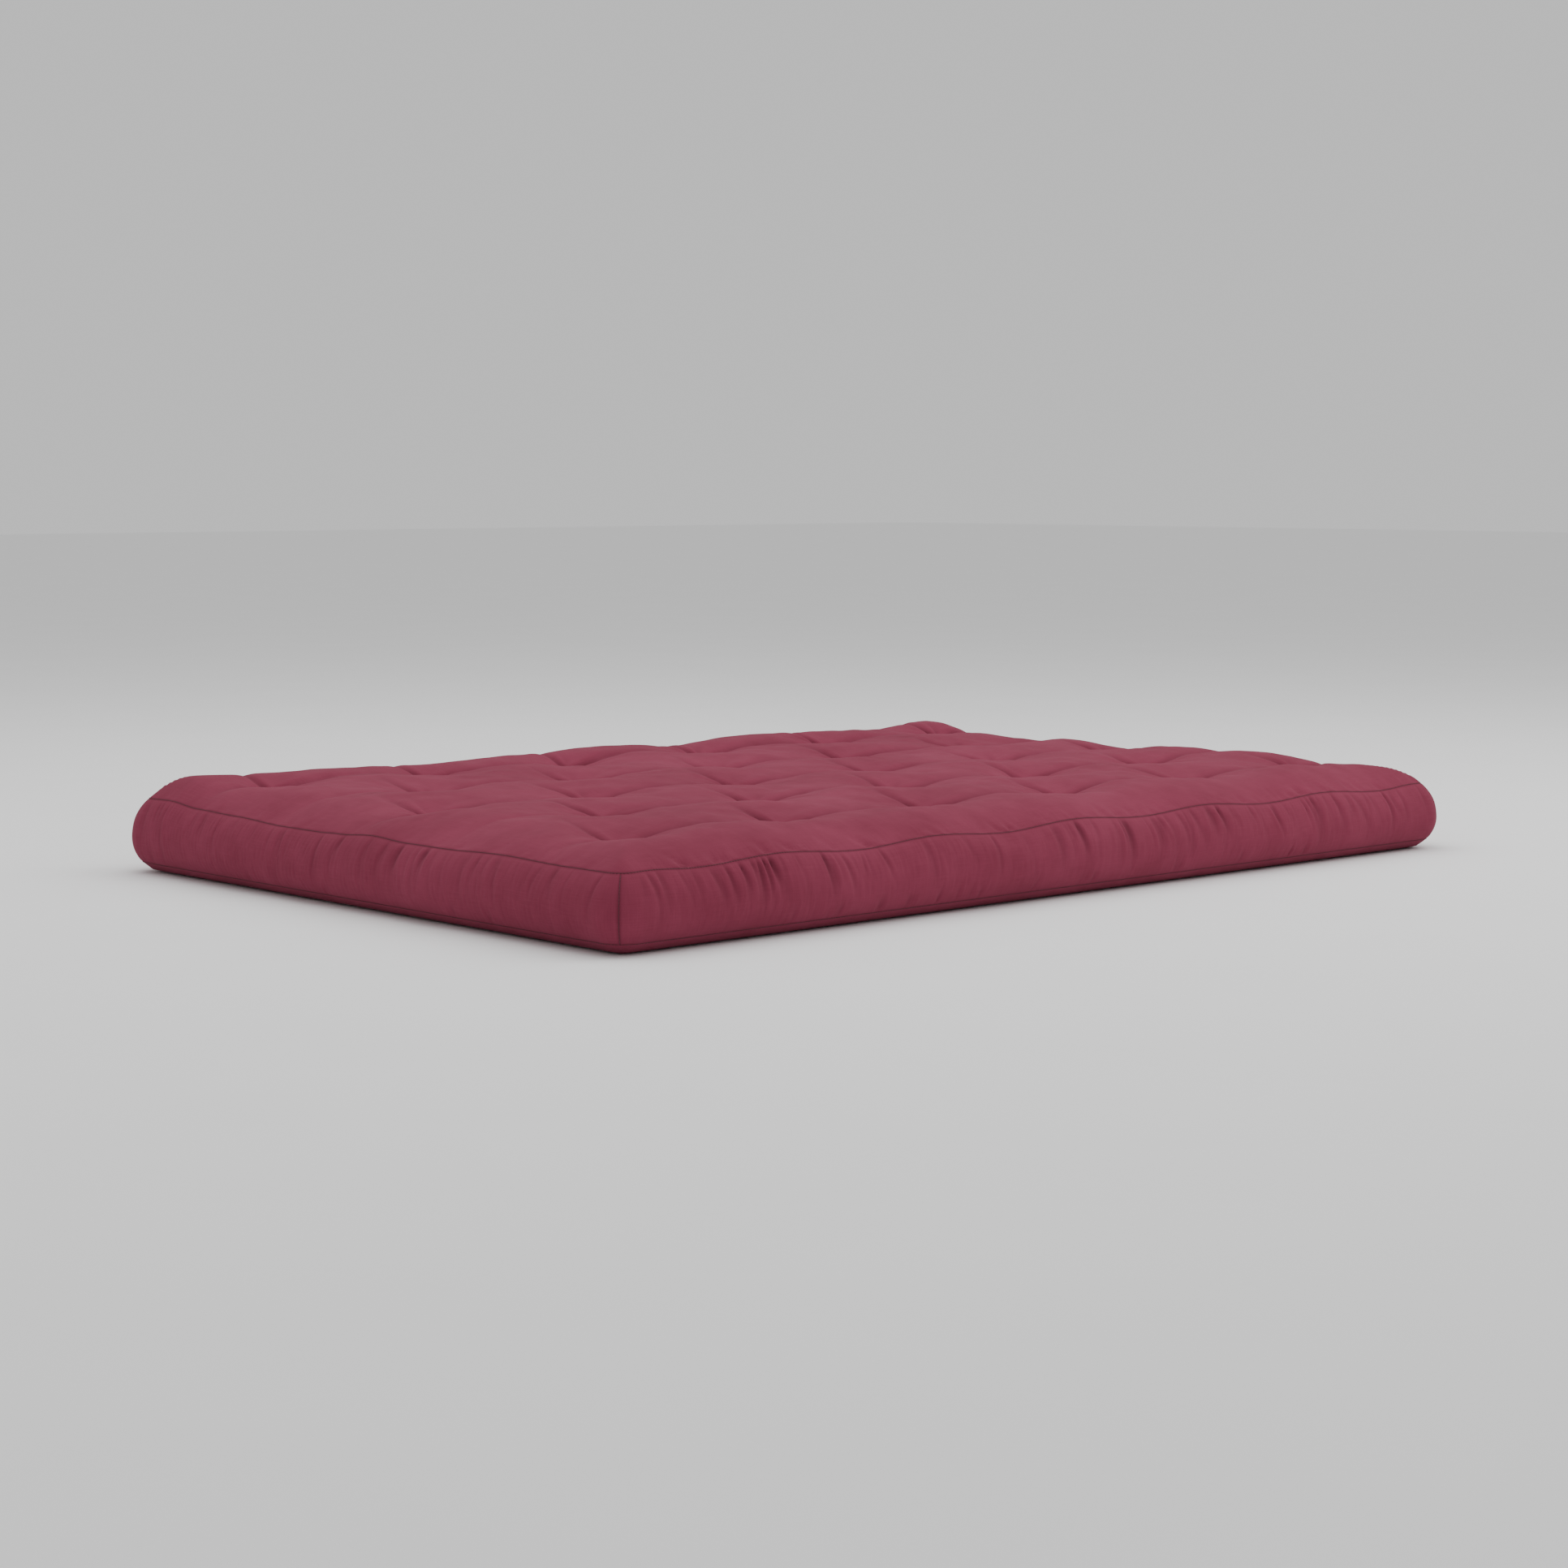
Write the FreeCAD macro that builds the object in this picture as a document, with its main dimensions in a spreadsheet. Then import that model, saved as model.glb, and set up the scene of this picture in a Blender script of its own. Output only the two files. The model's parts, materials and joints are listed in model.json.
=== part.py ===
"""Futon mattress, lying flat, folding along its length into a seat and a back.

Frame: origin on the floor under the middle of the mattress, +X along the long side,
+Y towards the rear edge, +Z up. Millimetres.

The mattress is a sewn cotton case (top and bottom panels joined by a border on four
sides), filled with a foam core between layers of cotton felt, and tied through with
tufting twine. Everything is modelled in two halves, because the mattress folds on a
line parallel to its long side: the seat in front of the fold and the back behind it.
"""
import FreeCAD, Part
import math
import os
import Sketcher

from FreeCAD import Placement, Rotation, Vector

DIMENSIONS = (
    # alias, value, what it is
    ("SeamLength", 1920, "case along X, seam to seam"),
    ("SeamDepth", 1300, "case along Y, seam to seam"),
    ("Thickness", 156, "floor to the top of the humps between tufts"),
    ("CornerRadius", 60, "plan corner of the seam line"),
    ("TopEdgeRadius", 36, "rounding from the top seam on to the top"),
    ("BottomEdgeRadius", 18, "rounding from the bottom seam down to the floor"),
    ("BorderBulge", 28, "how far the filled border stands out past its seams"),
    ("ClothThickness", 2, "case fabric with its seam allowance"),
    ("FillSlack", 0.3, "slack between the case and the filling"),
    ("FoldOffset", 117.5, "fold line behind the middle, midway between tuft rows"),
    ("FoldGap", 1, "slit between the seat half and the back half"),
    ("FeltThickness", 15, "one layer of cotton felt, tufted down"),
    ("FeltLayers", 3, "felt layers above the core, and again below it"),
    ("LayerSlack", 0.4, "gap between one filling layer and the next"),
    ("TuftColumnPitch", 326, "tuft to tuft along a row"),
    ("TuftRowPitch", 235, "row to row"),
    ("LongRowTufts", 6, "tufts in the first, third and fifth rows"),
    ("TuftRows", 5, "rows, each shifted half a pitch from the one before"),
    ("TopDimpleDepth", 12, "depth of a tuft dimple in the top"),
    ("TopDimpleRadius", 45, "radius of its rim"),
    ("BottomDimpleDepth", 7, "depth of the dimple that holds a knot"),
    ("BottomDimpleRadius", 30, "radius of its rim"),
    ("TwineRadius", 1.2, "waxed tufting twine"),
    ("TwineHoleRadius", 1.6, "needle hole through cloth and filling"),
    ("TwineSpread", 5, "each strand from the middle of its tuft"),
    ("StitchHalfWidth", 1.5, "a stitch lies flatter than its strands, either side of the middle"),
    ("TwineLift", 0.4, "twine clear of the cloth it lies on"),
    ("KnotRadius", 2.5, "knot under the mattress"),
    ("KnotHalfLength", 2, "the knot's wraps, either side of the middle"),
    ("ThreadRadius", 1, "seam thread"),
    ("ThreadClearance", 0.3, "thread clear of the case"),
    ("ThreadStop", 3, "degrees of arc left bare at each end of a corner seam"),
    ("KeyDepth", 5, "how far the swept border reaches into the slab it swells from"),
)

document = FreeCAD.newDocument("FutonMattress")
sheet = document.addObject("Spreadsheet::Sheet", "Sizes")
for row, (alias, value, meaning) in enumerate(DIMENSIONS, start=1):
    sheet.set(f"A{row}", meaning)
    sheet.set(f"B{row}", str(value))
    sheet.setAlias(f"B{row}", alias)
document.recompute()


def size(alias):
    """The value of a driving dimension, in millimetres or as a plain count."""
    return float(sheet.get(alias))


def bind(feature, **expressions):
    """Bind properties of a document object to the spreadsheet.

    A double underscore in a keyword stands for the dot of a nested property.
    """
    for name, expression in expressions.items():
        feature.setExpression(name.replace("__", "."), expression)
    return feature


def bind_constraint(sketch, name, expression, *constraint):
    """Add one named constraint to a sketch and bind it to the spreadsheet."""
    index = sketch.addConstraint(Sketcher.Constraint(*constraint))
    sketch.renameConstraint(index, name)
    sketch.setExpression(f"Constraints.{name}", expression)


def add_constraints(sketch, constraints):
    """Add unnamed geometric constraints to a sketch."""
    for constraint in constraints:
        sketch.addConstraint(Sketcher.Constraint(*constraint))


def new_sketch(body, name, plane_role):
    """A sketch of the body, on one of the body's own origin planes."""
    plane = next(part for part in body.Origin.OriginFeatures if part.Role == plane_role)
    sketch = body.newObject("Sketcher::SketchObject", name)
    sketch.AttachmentSupport = (plane, [""])
    sketch.MapMode = "FlatFace"
    return sketch


def draw_rounded_rectangle(sketch, length, depth, radius, expressions):
    """Draw a rounded rectangle about the sketch's origin and bind its three sizes."""
    half_x = length / 2
    half_y = depth / 2
    side_x = half_x - radius
    side_y = half_y - radius
    axis = Vector(0, 0, 1)

    def corner(x, y, start):
        circle = Part.Circle(Vector(x, y, 0), axis, radius)
        return Part.ArcOfCircle(circle, math.radians(start), math.radians(start + 90))

    def line(x_from, y_from, x_to, y_to):
        return Part.LineSegment(Vector(x_from, y_from, 0), Vector(x_to, y_to, 0))

    sketch.addGeometry([
        line(-side_x, -half_y, side_x, -half_y),
        corner(side_x, -side_y, 270),
        line(half_x, -side_y, half_x, side_y),
        corner(side_x, side_y, 0),
        line(side_x, half_y, -side_x, half_y),
        corner(-side_x, side_y, 90),
        line(-half_x, side_y, -half_x, -side_y),
        corner(-side_x, -side_y, 180),
    ], False)
    add_constraints(sketch, [("Tangent", i, 2, (i + 1) % 8, 1) for i in range(8)])
    add_constraints(sketch, [("Horizontal", 0), ("Vertical", 2), ("Horizontal", 4), ("Vertical", 6)])
    add_constraints(sketch, [("Equal", 1, i) for i in (3, 5, 7)])
    add_constraints(sketch, [("Symmetric", 1, 3, 5, 3, -1, 1)])
    bind_constraint(sketch, "length", expressions[0], "DistanceX", 6, 1, 2, 1, length)
    bind_constraint(sketch, "depth", expressions[1], "DistanceY", 0, 1, 4, 1, depth)
    bind_constraint(sketch, "radius", expressions[2], "Radius", 1, radius)


def draw_border_section(sketch, inset, expressions):
    """Draw the D-shaped section of the front border in the YZ plane.

    The bulge is one arc about a centre inside the case. A key stands behind it,
    inside the case, so that the sweep and the slab share a volume.
    """
    bulge_radius = size("BorderRadius") - inset
    centre_y = -size("SeamDepth") / 2 + size("BorderCentreInset")
    face_y = -size("SeamDepth") / 2 + inset
    key_y = face_y + size("KeyDepth")
    middle = size("BorderMiddle")
    half_chord = math.sqrt(bulge_radius ** 2 - (face_y - centre_y) ** 2)
    half_turn = math.asin(half_chord / bulge_radius)
    circle = Part.Circle(Vector(centre_y, middle, 0), Vector(0, 0, 1), bulge_radius)
    top = middle + half_chord
    bottom = middle - half_chord
    sketch.addGeometry([
        Part.ArcOfCircle(circle, math.pi - half_turn, math.pi + half_turn),
        Part.LineSegment(Vector(face_y, bottom, 0), Vector(key_y, bottom, 0)),
        Part.LineSegment(Vector(key_y, bottom, 0), Vector(key_y, top, 0)),
        Part.LineSegment(Vector(key_y, top, 0), Vector(face_y, top, 0)),
    ], False)
    add_constraints(sketch, [
        ("Coincident", 0, 2, 1, 1), ("Coincident", 1, 2, 2, 1),
        ("Coincident", 2, 2, 3, 1), ("Coincident", 3, 2, 0, 1),
        ("Horizontal", 1), ("Vertical", 2), ("Horizontal", 3),
    ])
    bind_constraint(sketch, "face", expressions["face"], "DistanceX", 1, 1, -1, 1, -face_y)
    bind_constraint(sketch, "key", expressions["key"], "DistanceX", 1, 1, 1, 2, key_y - face_y)
    bind_constraint(sketch, "centre", expressions["centre"], "DistanceY", -1, 1, 0, 3, middle)
    bind_constraint(sketch, "bulge", expressions["bulge"], "Radius", 0, bulge_radius)
    bind_constraint(sketch, "inset", expressions["inset"], "DistanceX", 0, 3, -1, 1, -centre_y)


DERIVED = (
    # alias, formula, what it is
    ("TopSeamHeight", "=Thickness - TopEdgeRadius", "top seam above the floor"),
    ("BottomSeamHeight", "=BottomEdgeRadius", "bottom seam above the floor"),
    ("BorderMiddle", "=(TopSeamHeight + BottomSeamHeight) / 2", "middle of the border"),
    ("BorderHalf", "=(TopSeamHeight - BottomSeamHeight) / 2", "half the border's height"),
    ("BorderRadius", "=(BorderHalf ^ 2 + BorderBulge ^ 2) / (2 * BorderBulge)", "its bulge's radius"),
    ("BorderCentreInset", "=BorderRadius - BorderBulge", "bulge's centre inside the seam line"),
    ("FillInset", "=ClothThickness + FillSlack", "filling inside the case's outer face"),
    ("LayerStep", "=FeltThickness + LayerSlack", "one felt layer to the next"),
    ("CoreBottom", "=FillInset + FeltLayers * LayerStep", "underside of the foam core"),
    ("CoreThickness", "=Thickness - 2 * CoreBottom", "foam core"),
    ("TopTwineHeight", "=Thickness - TopDimpleDepth + TwineRadius + TwineLift", "stitch on the top"),
    ("BottomTwineHeight", "=BottomDimpleDepth - TwineRadius - 1.5 * TwineLift", "stitch underneath"),
    ("Reach", "=SeamLength", "longer than anything it cuts"),
)
for row, (alias, formula, meaning) in enumerate(DERIVED, start=len(DIMENSIONS) + 1):
    sheet.set(f"A{row}", meaning)
    sheet.set(f"B{row}", formula)
    sheet.setAlias(f"B{row}", alias)
    document.recompute()


# ---------------------------------------------------------------- the master forms

def edges_at_height(shape, height):
    """Names of the edges that lie level at one height."""
    names = []
    for number, edge in enumerate(shape.Edges, start=1):
        box = edge.BoundBox
        if abs(box.ZMin - height) < 0.01 and abs(box.ZMax - height) < 0.01:
            names.append(f"Edge{number}")
    return names


def make_form(name, inset_alias):
    """A solid of the whole mattress, moved inwards from its outer face.

    A slab with rounded edges carries the swollen border, which is swept round it.
    """
    inset = size(inset_alias) if inset_alias else 0.0
    shift = f"Sizes.{inset_alias}" if inset_alias else "0"
    body = document.addObject("PartDesign::Body", name)

    outline = new_sketch(body, f"{name}Outline", "XY_Plane")
    draw_rounded_rectangle(
        outline, size("SeamLength") - 2 * inset, size("SeamDepth") - 2 * inset,
        size("CornerRadius") - inset,
        (f"Sizes.SeamLength - 2 * {shift}", f"Sizes.SeamDepth - 2 * {shift}",
         f"Sizes.CornerRadius - {shift}"))
    bind(outline, AttachmentOffset__Base__z=shift)
    slab = body.newObject("PartDesign::Pad", f"{name}Slab")
    slab.Profile = outline
    bind(slab, Length=f"Sizes.Thickness - 2 * {shift}")
    document.recompute()

    top_edge = body.newObject("PartDesign::Fillet", f"{name}TopEdge")
    top_edge.Base = (slab, edges_at_height(slab.Shape, size("Thickness") - inset))
    bind(top_edge, Radius=f"Sizes.TopEdgeRadius - {shift}")
    document.recompute()
    bottom_edge = body.newObject("PartDesign::Fillet", f"{name}BottomEdge")
    bottom_edge.Base = (top_edge, edges_at_height(top_edge.Shape, inset))
    bind(bottom_edge, Radius=f"Sizes.BottomEdgeRadius - {shift}")
    document.recompute()

    section = new_sketch(body, f"{name}BorderSection", "YZ_Plane")
    draw_border_section(section, inset, {
        "face": f"Sizes.SeamDepth / 2 - {shift}",
        "key": "Sizes.KeyDepth",
        "centre": "Sizes.BorderMiddle",
        "bulge": f"Sizes.BorderRadius - {shift}",
        "inset": "Sizes.SeamDepth / 2 - Sizes.BorderCentreInset",
    })
    border = body.newObject("PartDesign::AdditivePipe", f"{name}Border")
    border.Profile = section
    border.Spine = (outline, [f"Edge{number}" for number in range(1, 9)])
    document.recompute()
    return body


def make_compound(name, shapes):
    """A document object that holds many copies of one simple solid."""
    feature = document.addObject("Part::Feature", name)
    feature.Shape = Part.makeCompound(shapes)
    return feature


def tuft_points():
    """Places of the tufts, rows shifted by half a pitch, as (x, y) pairs."""
    pitch = size("TuftColumnPitch")
    long_row = int(size("LongRowTufts"))
    rows = int(size("TuftRows"))
    points = []
    for row in range(rows):
        count = long_row - row % 2
        y = (row - (rows - 1) / 2) * size("TuftRowPitch")
        points += [((column - (count - 1) / 2) * pitch, y) for column in range(count)]
    return points


def dimples(name, inset, depth, radius, top):
    """The balls that press a dimple at every tuft, into the top or the underside."""
    ball = (radius ** 2 + depth ** 2) / (2 * depth)
    if top:
        centre_z = size("Thickness") - depth + ball
    else:
        centre_z = depth - ball
    shapes = [Part.makeSphere(ball + inset, Vector(x, y, centre_z)) for x, y in tuft_points()]
    return make_compound(name, shapes)


def cut(name, base, tool):
    """One solid less another."""
    feature = document.addObject("Part::Cut", name)
    feature.Base = base
    feature.Tool = tool
    return feature


def common(name, base, tool):
    """What two solids share."""
    feature = document.addObject("Part::Common", name)
    feature.Base = base
    feature.Tool = tool
    return feature


def box(name, origin, extent):
    """A box whose corner and sides are three spreadsheet formulas each."""
    feature = document.addObject("Part::Box", name)
    bind(feature, Length=extent[0], Width=extent[1], Height=extent[2])
    bind(feature, Placement__Base__x=origin[0], Placement__Base__y=origin[1],
         Placement__Base__z=origin[2])
    return feature


def dimpled_form(name, inset_alias):
    """A master form with the tuft dimples pressed into both faces."""
    inset = size(inset_alias) if inset_alias else 0.0
    top = dimples(f"{name}TopDimples", inset, size("TopDimpleDepth"), size("TopDimpleRadius"), True)
    under = dimples(
        f"{name}UnderDimples", inset, size("BottomDimpleDepth"), size("BottomDimpleRadius"), False)
    pressed = cut(f"{name}Pressed", make_form(name, inset_alias), top)
    return cut(f"{name}Dimpled", pressed, under)


def needle_holes():
    """Two holes through everything at each tuft, one for each strand of twine."""
    length = 2 * size("Thickness")
    start = -length / 4
    spread = size("TwineSpread")
    shapes = []
    for x, y in tuft_points():
        for side in (-spread, spread):
            base = Vector(x + side, y, start)
            shapes.append(Part.makeCylinder(size("TwineHoleRadius"), length, base))
    return make_compound("NeedleHoles", shapes)


holes = needle_holes()
case_shell = cut("CaseShell", dimpled_form("CaseOuter", None), dimpled_form("CaseInner", "ClothThickness"))
case = cut("PiercedCase", case_shell, holes)
filling = cut("PiercedFilling", dimpled_form("Filling", "FillInset"), holes)

# The two halves, each half a gap short of the fold line.
HALVES = {
    "seat": box(
        "SeatHalf", ("-Sizes.Reach", "Sizes.FoldOffset - Sizes.FoldGap / 2 - Sizes.Reach", "-Sizes.Reach"),
        ("2 * Sizes.Reach", "Sizes.Reach", "2 * Sizes.Reach")),
    "back": box(
        "BackHalf", ("-Sizes.Reach", "Sizes.FoldOffset + Sizes.FoldGap / 2", "-Sizes.Reach"),
        ("2 * Sizes.Reach", "Sizes.Reach", "2 * Sizes.Reach")),
}
sub_parts = []


def keep(feature, label):
    """Mark a finished sub-part and give it the name of its node."""
    feature.Label = label
    sub_parts.append(feature)
    return feature


def half_of(feature, half, label):
    """Keep the seat's or the back's share of something that runs right across."""
    return keep(common(label, feature, HALVES[half]), label)


# ------------------------------------------------------------------------ the case

top_zone = box("TopZone", ("-Sizes.Reach", "-Sizes.Reach", "Sizes.TopSeamHeight"),
               ("2 * Sizes.Reach", "2 * Sizes.Reach", "Sizes.Reach"))
bottom_zone = box("BottomZone", ("-Sizes.Reach", "-Sizes.Reach", "Sizes.BottomSeamHeight - Sizes.Reach"),
                  ("2 * Sizes.Reach", "2 * Sizes.Reach", "Sizes.Reach"))
case_top = common("CaseTop", case, top_zone)
case_bottom = common("CaseBottom", case, bottom_zone)
for half_name in HALVES:
    half_of(case_top, half_name, f"{half_name}_cover_top")
    half_of(case_bottom, half_name, f"{half_name}_cover_bottom")


def border_zone(name, angle, span_alias, depth_alias):
    """The wedge that holds one side's border, between the middles of two corners."""
    zone = document.addObject("Part::Wedge", name)
    corner = f"(Sizes.{span_alias} / 2 - Sizes.CornerRadius)"
    side = f"(Sizes.{depth_alias} / 2 - Sizes.CornerRadius)"
    spread = "2 * (Sizes.CornerRadius + Sizes.BorderBulge)"
    bind(zone, Xmin=f"-{corner} - {spread}", Xmax=f"{corner} + {spread}",
         X2min=f"-{corner}", X2max=corner,
         Ymin=f"-{side} - {spread}", Ymax=f"-{side}",
         Zmin="Sizes.BottomSeamHeight", Zmax="Sizes.TopSeamHeight",
         Z2min="Sizes.BottomSeamHeight", Z2max="Sizes.TopSeamHeight")
    zone.Placement = Placement(Vector(0, 0, 0), Rotation(Vector(0, 0, 1), angle))
    return zone


keep(common("FrontBorder", case, border_zone("FrontZone", 0, "SeamLength", "SeamDepth")), "front_border")
keep(common("RearBorder", case, border_zone("RearZone", 180, "SeamLength", "SeamDepth")), "rear_border")
for side_name, turn in (("left", 270), ("right", 90)):
    side_border = common(
        f"{side_name}Border", case, border_zone(f"{side_name}Zone", turn, "SeamDepth", "SeamLength"))
    for half_name in HALVES:
        half_of(side_border, half_name, f"{half_name}_{side_name}_border")

# --------------------------------------------------------------------- the filling


def filling_layer(label, bottom, thickness):
    """One flat layer of the filling, cut at the fold into a seat and a back piece."""
    slice_box = box(f"{label}_slice", ("-Sizes.Reach", "-Sizes.Reach", bottom),
                    ("2 * Sizes.Reach", "2 * Sizes.Reach", thickness))
    layer = common(f"{label}_layer", filling, slice_box)
    for half_name in HALVES:
        half_of(layer, half_name, f"{half_name}_{label}")


filling_layer("foam_core", "Sizes.CoreBottom", "Sizes.CoreThickness")
for number in range(int(size("FeltLayers"))):
    lower_start = f"Sizes.FillInset + {number} * Sizes.LayerStep"
    upper_start = f"Sizes.CoreBottom + Sizes.CoreThickness + Sizes.LayerSlack + {number} * Sizes.LayerStep"
    filling_layer(f"lower_felt_{number + 1}", lower_start, "Sizes.FeltThickness")
    filling_layer(f"upper_felt_{number + 1}", upper_start, "Sizes.FeltThickness")

# --------------------------------------------------------------- threads and twine


def seam_ring(name, height, rise):
    """A thread lying in the groove of a level seam, all the way round."""
    offset = size("ThreadRadius") + size("ThreadClearance")
    body = document.addObject("PartDesign::Body", name)
    path = new_sketch(body, f"{name}Path", "XY_Plane")
    reach = "(Sizes.ThreadRadius + Sizes.ThreadClearance)"
    draw_rounded_rectangle(
        path, size("SeamLength") + 2 * offset, size("SeamDepth") + 2 * offset,
        size("CornerRadius") + offset,
        (f"Sizes.SeamLength + 2 * {reach}", f"Sizes.SeamDepth + 2 * {reach}",
         f"Sizes.CornerRadius + {reach}"))
    bind(path, AttachmentOffset__Base__z=f"{height} + {rise} * {reach}")
    section = new_sketch(body, f"{name}Section", "YZ_Plane")
    middle_y = -size("SeamDepth") / 2 - offset
    middle_z = size(height.split(".")[1]) + rise * offset
    section.addGeometry([Part.Circle(Vector(middle_y, middle_z, 0), Vector(0, 0, 1), 1.0)], False)
    bind_constraint(section, "radius", "Sizes.ThreadRadius", "Radius", 0, 1.0)
    bind_constraint(section, "out", f"Sizes.SeamDepth / 2 + {reach}",
                    "DistanceX", 0, 3, -1, 1, -middle_y)
    bind_constraint(section, "up", f"{height} + {rise} * {reach}",
                    "DistanceY", -1, 1, 0, 3, middle_z)
    document.recompute()
    ring = body.newObject("PartDesign::AdditivePipe", f"{name}Ring")
    ring.Profile = section
    ring.Spine = (path, [f"Edge{index}" for index in range(1, 9)])
    document.recompute()
    return body


top_thread = seam_ring("TopThread", "Sizes.TopSeamHeight", 0.6)
bottom_thread = seam_ring("BottomThread", "Sizes.BottomSeamHeight", -0.6)
for half_name in HALVES:
    half_of(top_thread, half_name, f"{half_name}_top_seam_thread")
    half_of(bottom_thread, half_name, f"{half_name}_bottom_seam_thread")


def corner_thread(name, sign_x, sign_y):
    """The thread of one upright corner seam, an arc just outside the border's bulge."""
    thread = document.addObject("Part::Torus", name)
    half_arc = "asin(Sizes.BorderHalf / Sizes.BorderRadius)"
    bind(thread, Radius1="Sizes.BorderRadius + Sizes.ThreadRadius + Sizes.ThreadClearance",
         Radius2="Sizes.ThreadRadius", Angle3=f"2 * ({half_arc} - Sizes.ThreadStop * 1 deg)")
    half_turn = math.degrees(math.asin(size("BorderHalf") / size("BorderRadius"))) - size("ThreadStop")
    diagonal = math.degrees(math.atan2(sign_y, sign_x))
    centre_shift = (size("CornerRadius") - size("BorderCentreInset")) / math.sqrt(2)
    centre_x = sign_x * (size("SeamLength") / 2 - size("CornerRadius") + centre_shift)
    centre_y = sign_y * (size("SeamDepth") / 2 - size("CornerRadius") + centre_shift)
    upright = Rotation(Vector(0, 0, 1), diagonal) * Rotation(Vector(1, 0, 0), 90)
    thread.Placement = Placement(
        Vector(centre_x, centre_y, size("BorderMiddle")),
        upright * Rotation(Vector(0, 0, 1), -half_turn))
    return thread


for half_name, sign in (("seat", -1), ("back", 1)):
    pair = document.addObject("Part::Compound", f"{half_name}CornerThreads")
    pair.Links = [corner_thread(f"{half_name}Thread{side}", x, sign) for side, x in (("A", -1), ("B", 1))]
    keep(pair, f"{half_name}_corner_seam_threads")


def twine_loop():
    """One tie: two strands, a flat stitch across the top, and a knotted stitch underneath."""
    pieces = []
    for index, side in enumerate(("-Sizes.TwineSpread", "Sizes.TwineSpread")):
        strand = document.addObject("Part::Cylinder", f"Strand{index}")
        bind(strand, Radius="Sizes.TwineRadius",
             Height="Sizes.TopTwineHeight - Sizes.BottomTwineHeight",
             Placement__Base__x=side, Placement__Base__z="Sizes.BottomTwineHeight")
        pieces.append(strand)
    half_length = "Sizes.TwineSpread + Sizes.StitchHalfWidth"
    for name, height in (("TopStitch", "Sizes.TopTwineHeight"), ("KnottedStitch", "Sizes.BottomTwineHeight")):
        pieces.append(box(
            name, (f"-({half_length})", "-Sizes.StitchHalfWidth", f"{height} - Sizes.TwineRadius"),
            (f"2 * ({half_length})", "2 * Sizes.StitchHalfWidth", "2 * Sizes.TwineRadius")))
    knot = document.addObject("Part::Cylinder", "Knot")
    bind(knot, Radius="Sizes.KnotRadius", Height="2 * Sizes.KnotHalfLength")
    knot.Placement = Placement(
        Vector(-size("KnotHalfLength"), 0, size("BottomTwineHeight") - size("KnotRadius") / 3),
        Rotation(Vector(0, 1, 0), 90))
    pieces.append(knot)
    loop = document.addObject("Part::MultiFuse", "TwineLoop")
    loop.Shapes = pieces
    document.recompute()
    return loop


loop_shape = twine_loop().Shape
fold_y = size("FoldOffset")
for half_name in HALVES:
    places = [place for place in tuft_points() if (place[1] < fold_y) == (half_name == "seat")]
    ties = [loop_shape.translated(Vector(x, y, 0)) for x, y in places]
    keep(make_compound(f"{half_name}Ties", ties), f"{half_name}_tufting_twine")

# -------------------------------------------------------------- checking and writing

document.recompute()
for feature in document.Objects:
    for state in ("Invalid", "Error"):
        if state in feature.State:
            raise RuntimeError(f"{feature.Label} is {state}")
os.makedirs("parts", exist_ok=True)
for feature in sub_parts:
    shape = feature.Shape
    if shape.isNull() or not shape.isValid():
        raise RuntimeError(f"{feature.Label} has no valid shape")
    shape.exportStep(f"parts/{feature.Label}.step")
    box_size = shape.BoundBox
    print(f"{feature.Label:28s} solids {len(shape.Solids):3d} volume {shape.Volume / 1000:12.1f} cm3  "
          f"z {box_size.ZMin:7.2f} to {box_size.ZMax:7.2f}")
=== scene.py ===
"""A tufted futon mattress: a cotton cover sewn from two panels and four borders, cotton felt
round a foam core, and twine ties through it all. It folds across its width.

Everything is in metres. X runs along the mattress, Y from its front to its rear, Z up from the
floor.
"""

import json
import logging
import math
from dataclasses import dataclass, field
from enum import Enum

import bpy
import numpy as np
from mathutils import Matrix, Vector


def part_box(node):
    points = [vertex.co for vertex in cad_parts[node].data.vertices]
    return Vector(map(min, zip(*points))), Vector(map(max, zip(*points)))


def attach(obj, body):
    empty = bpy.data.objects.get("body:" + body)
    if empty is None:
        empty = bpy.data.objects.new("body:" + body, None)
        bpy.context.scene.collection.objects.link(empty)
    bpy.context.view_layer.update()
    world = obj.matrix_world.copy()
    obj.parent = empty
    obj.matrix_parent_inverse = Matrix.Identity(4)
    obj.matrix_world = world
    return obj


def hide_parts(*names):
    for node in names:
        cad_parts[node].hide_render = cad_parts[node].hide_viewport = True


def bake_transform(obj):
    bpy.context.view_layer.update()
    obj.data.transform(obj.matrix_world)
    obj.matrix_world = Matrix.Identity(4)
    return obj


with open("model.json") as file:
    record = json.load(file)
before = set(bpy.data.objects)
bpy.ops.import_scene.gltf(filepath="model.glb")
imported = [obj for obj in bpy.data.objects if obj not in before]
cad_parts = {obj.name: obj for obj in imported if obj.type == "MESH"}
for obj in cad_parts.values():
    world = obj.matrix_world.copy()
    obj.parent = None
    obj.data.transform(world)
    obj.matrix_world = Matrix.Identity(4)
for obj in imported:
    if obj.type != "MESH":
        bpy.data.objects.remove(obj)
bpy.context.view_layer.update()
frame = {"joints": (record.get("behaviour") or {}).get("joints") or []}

Array = np.ndarray
LOG = logging.getLogger("futon")
UV_NAME = "flat_cloth"
# The point attribute of painted shade: how far each point of the cover darkens, in its creases and beside
# its seams.
PAINTED_SHADE_NAME = "hollow"
SEAT = "seat_section"
BACK = "back_section"
FOLD_AT = next(joint for joint in frame["joints"] if joint["name"] == "backrest_fold")["pos_m"]
Colour = tuple[float, float, float]


# --------------------------------------------------------------------------------------------
# Sizes and the shape that they give
# --------------------------------------------------------------------------------------------


class Side(Enum):
    """The four sides of the mattress, in order round the rim, anticlockwise from above."""

    FRONT = "front"
    RIGHT = "right"
    REAR = "rear"
    LEFT = "left"


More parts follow.
